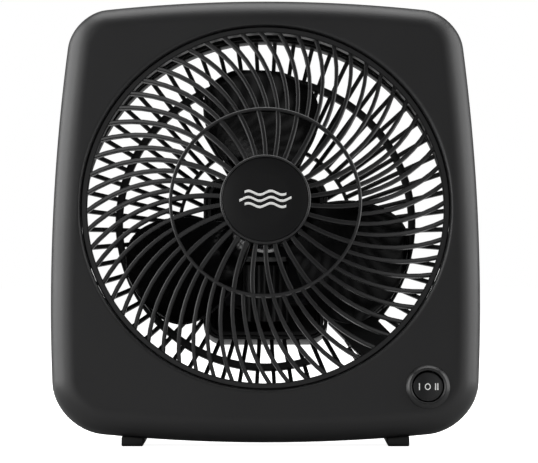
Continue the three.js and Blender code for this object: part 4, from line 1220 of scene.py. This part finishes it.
class BOXFAN_OT_stage(bpy.types.Operator):
    """Sets up the pale floor, the soft lights and the camera"""

    bl_idname = "boxfan.stage"
    bl_label = "Stage"

    def execute(self, context):
        scene = context.scene
        scene.view_settings.view_transform = "Standard"
        distance = 2.2
        view_width = 0.3109
        bpy.ops.object.camera_add(location=(0.00207, -distance - 0.05, 0.1243), rotation=(math.pi / 2, 0, 0))
        camera = context.active_object
        camera.name = "front_camera"
        camera.data.sensor_width = 36
        camera.data.lens = 36 * distance / view_width
        camera.data.clip_end = 50
        scene.camera = camera
        deselect()
        bpy.ops.mesh.primitive_plane_add(size=12, location=(0, 0, 0))
        floor = context.active_object
        floor.name = "floor"
        tree, coordinates = new_material("matt_white_floor")
        cloud = node(tree, "ShaderNodeTexNoise", {"Scale": 3.0}, {"Vector": coordinates})
        tone = node(tree, "ShaderNodeMix", {
            "data_type": "RGBA", 6: linear("#F1F1F0"), 7: linear("#F6F6F5"),
        }, {"Factor": cloud.outputs["Fac"]})
        paper = node(tree, "ShaderNodeBsdfPrincipled", {
            "Roughness": 0.8, "Emission Color": linear("#FFFFFF"), "Emission Strength": 0.94,
        }, {"Base Color": tone.outputs[2]})
        # the paper stays white to its edges, and throws only part of that light back on the fan
        shade = node(tree, "ShaderNodeBsdfDiffuse", {"Color": linear("#B4B4B4")})
        seen = node(tree, "ShaderNodeLightPath").outputs["Is Camera Ray"]
        mixed = node(tree, "ShaderNodeMixShader", {}, {0: seen, 1: shade.outputs[0], 2: paper.outputs[0]})
        node(tree, "ShaderNodeOutputMaterial", links={"Surface": mixed.outputs[0]})
        floor.data.materials.append(bpy.data.materials["matt_white_floor"])
        # name, place, aim, size, watts
        lights = [
            ("left_softbox", (-1.5, 0.15, 0.6), (0, 0, 0.13), (1.8, 1.8), 34),
            ("right_softbox", (1.5, 0.15, 0.6), (0, 0, 0.13), (1.8, 1.8), 27),
            ("left_key", (-2.1, -1.6, 0.9), (0, 0, 0.13), (2.2, 2.2), 25),
            ("right_key", (2.1, -1.6, 0.9), (0, 0, 0.13), (2.2, 2.2), 12),
            ("top_softbox", (0, 0.3, 1.6), (0, 0, 0.13), (1.8, 1.2), 22),
            ("front_fill", (-0.7, -2.6, 1.0), (0, 0, 0.13), (2.2, 1.2), 3.6),
        ]
        for name, spot, aim, (width, height), watts in lights:
            direction = Vector(aim) - Vector(spot)
            bpy.ops.object.light_add(type="AREA", location=spot,
                                     rotation=direction.to_track_quat("-Z", "Y").to_euler())
            light = context.active_object
            light.name = name
            light.data.shape = "RECTANGLE"
            light.data.size = width
            light.data.size_y = height
            light.data.energy = watts
        world = bpy.data.worlds.new("studio")
        scene.world = world
        world.use_nodes = True
        tree = world.node_tree
        tree.nodes.clear()
        seen = node(tree, "ShaderNodeLightPath").outputs["Is Camera Ray"]
        room = node(tree, "ShaderNodeBackground", {"Color": linear("#FFFFFF"), "Strength": 0.08})
        paper = node(tree, "ShaderNodeBackground", {"Color": linear("#FFFFFF"), "Strength": 1.0})
        mixed = node(tree, "ShaderNodeMixShader", {}, {0: seen, 1: room.outputs[0], 2: paper.outputs[0]})
        node(tree, "ShaderNodeOutputWorld", links={"Surface": mixed.outputs[0]})
        return {"FINISHED"}


# ---------------------------------------------------------------- panel and registration

STEPS = (
    "stage", "finishes", "front_shell", "rear_shell", "front_grille", "badge", "rear_grille", "motor_housing",
    "wire_duct", "impeller", "switch", "feet", "fasteners",
)


class BOXFAN_PT_panel(bpy.types.Panel):
    """Lists the fan's sizes, colours and building steps"""

    bl_idname = "BOXFAN_PT_panel"
    bl_label = "Box Fan"
    bl_space_type = "VIEW_3D"
    bl_region_type = "UI"
    bl_category = "Box Fan"

    def draw(self, context):
        for step in STEPS:
            self.layout.operator(f"boxfan.{step}")
        for group in SETTINGS:
            settings = getattr(context.scene, group)
            box = self.layout.box()
            for name in settings.__annotations__:
                box.prop(settings, name)


SETTINGS = {
    "box_fan_case": BoxFanCaseSettings,
    "box_fan_grille": BoxFanGrilleSettings,
    "box_fan_guard": BoxFanGuardSettings,
    "box_fan_housing": BoxFanHousingSettings,
    "box_fan_duct": BoxFanDuctSettings,
    "box_fan_impeller": BoxFanImpellerSettings,
    "box_fan_switch": BoxFanSwitchSettings,
    "box_fan_colours": BoxFanColours,
}
CLASSES = (
    *SETTINGS.values(),
    BOXFAN_OT_stage,
    BOXFAN_OT_finishes,
    BOXFAN_OT_front_shell,
    BOXFAN_OT_rear_shell,
    BOXFAN_OT_front_grille,
    BOXFAN_OT_badge,
    BOXFAN_OT_rear_grille,
    BOXFAN_OT_motor_housing,
    BOXFAN_OT_wire_duct,
    BOXFAN_OT_impeller,
    BOXFAN_OT_switch,
    BOXFAN_OT_feet,
    BOXFAN_OT_fasteners,
    BOXFAN_PT_panel,
)


def register():
    """Registers the classes and hangs the settings on the scene."""
    for cls in CLASSES:
        bpy.utils.register_class(cls)
    for name, group in SETTINGS.items():
        setattr(bpy.types.Scene, name, PointerProperty(type=group))


def unregister():
    """Takes the settings and the classes away again."""
    for name in SETTINGS:
        delattr(bpy.types.Scene, name)
    for cls in reversed(CLASSES):
        bpy.utils.unregister_class(cls)


def main():
    """Builds the fan and its stage."""
    register()
    for step in STEPS:
        getattr(bpy.ops.boxfan, step)()


if __name__ == "__main__":
    main()
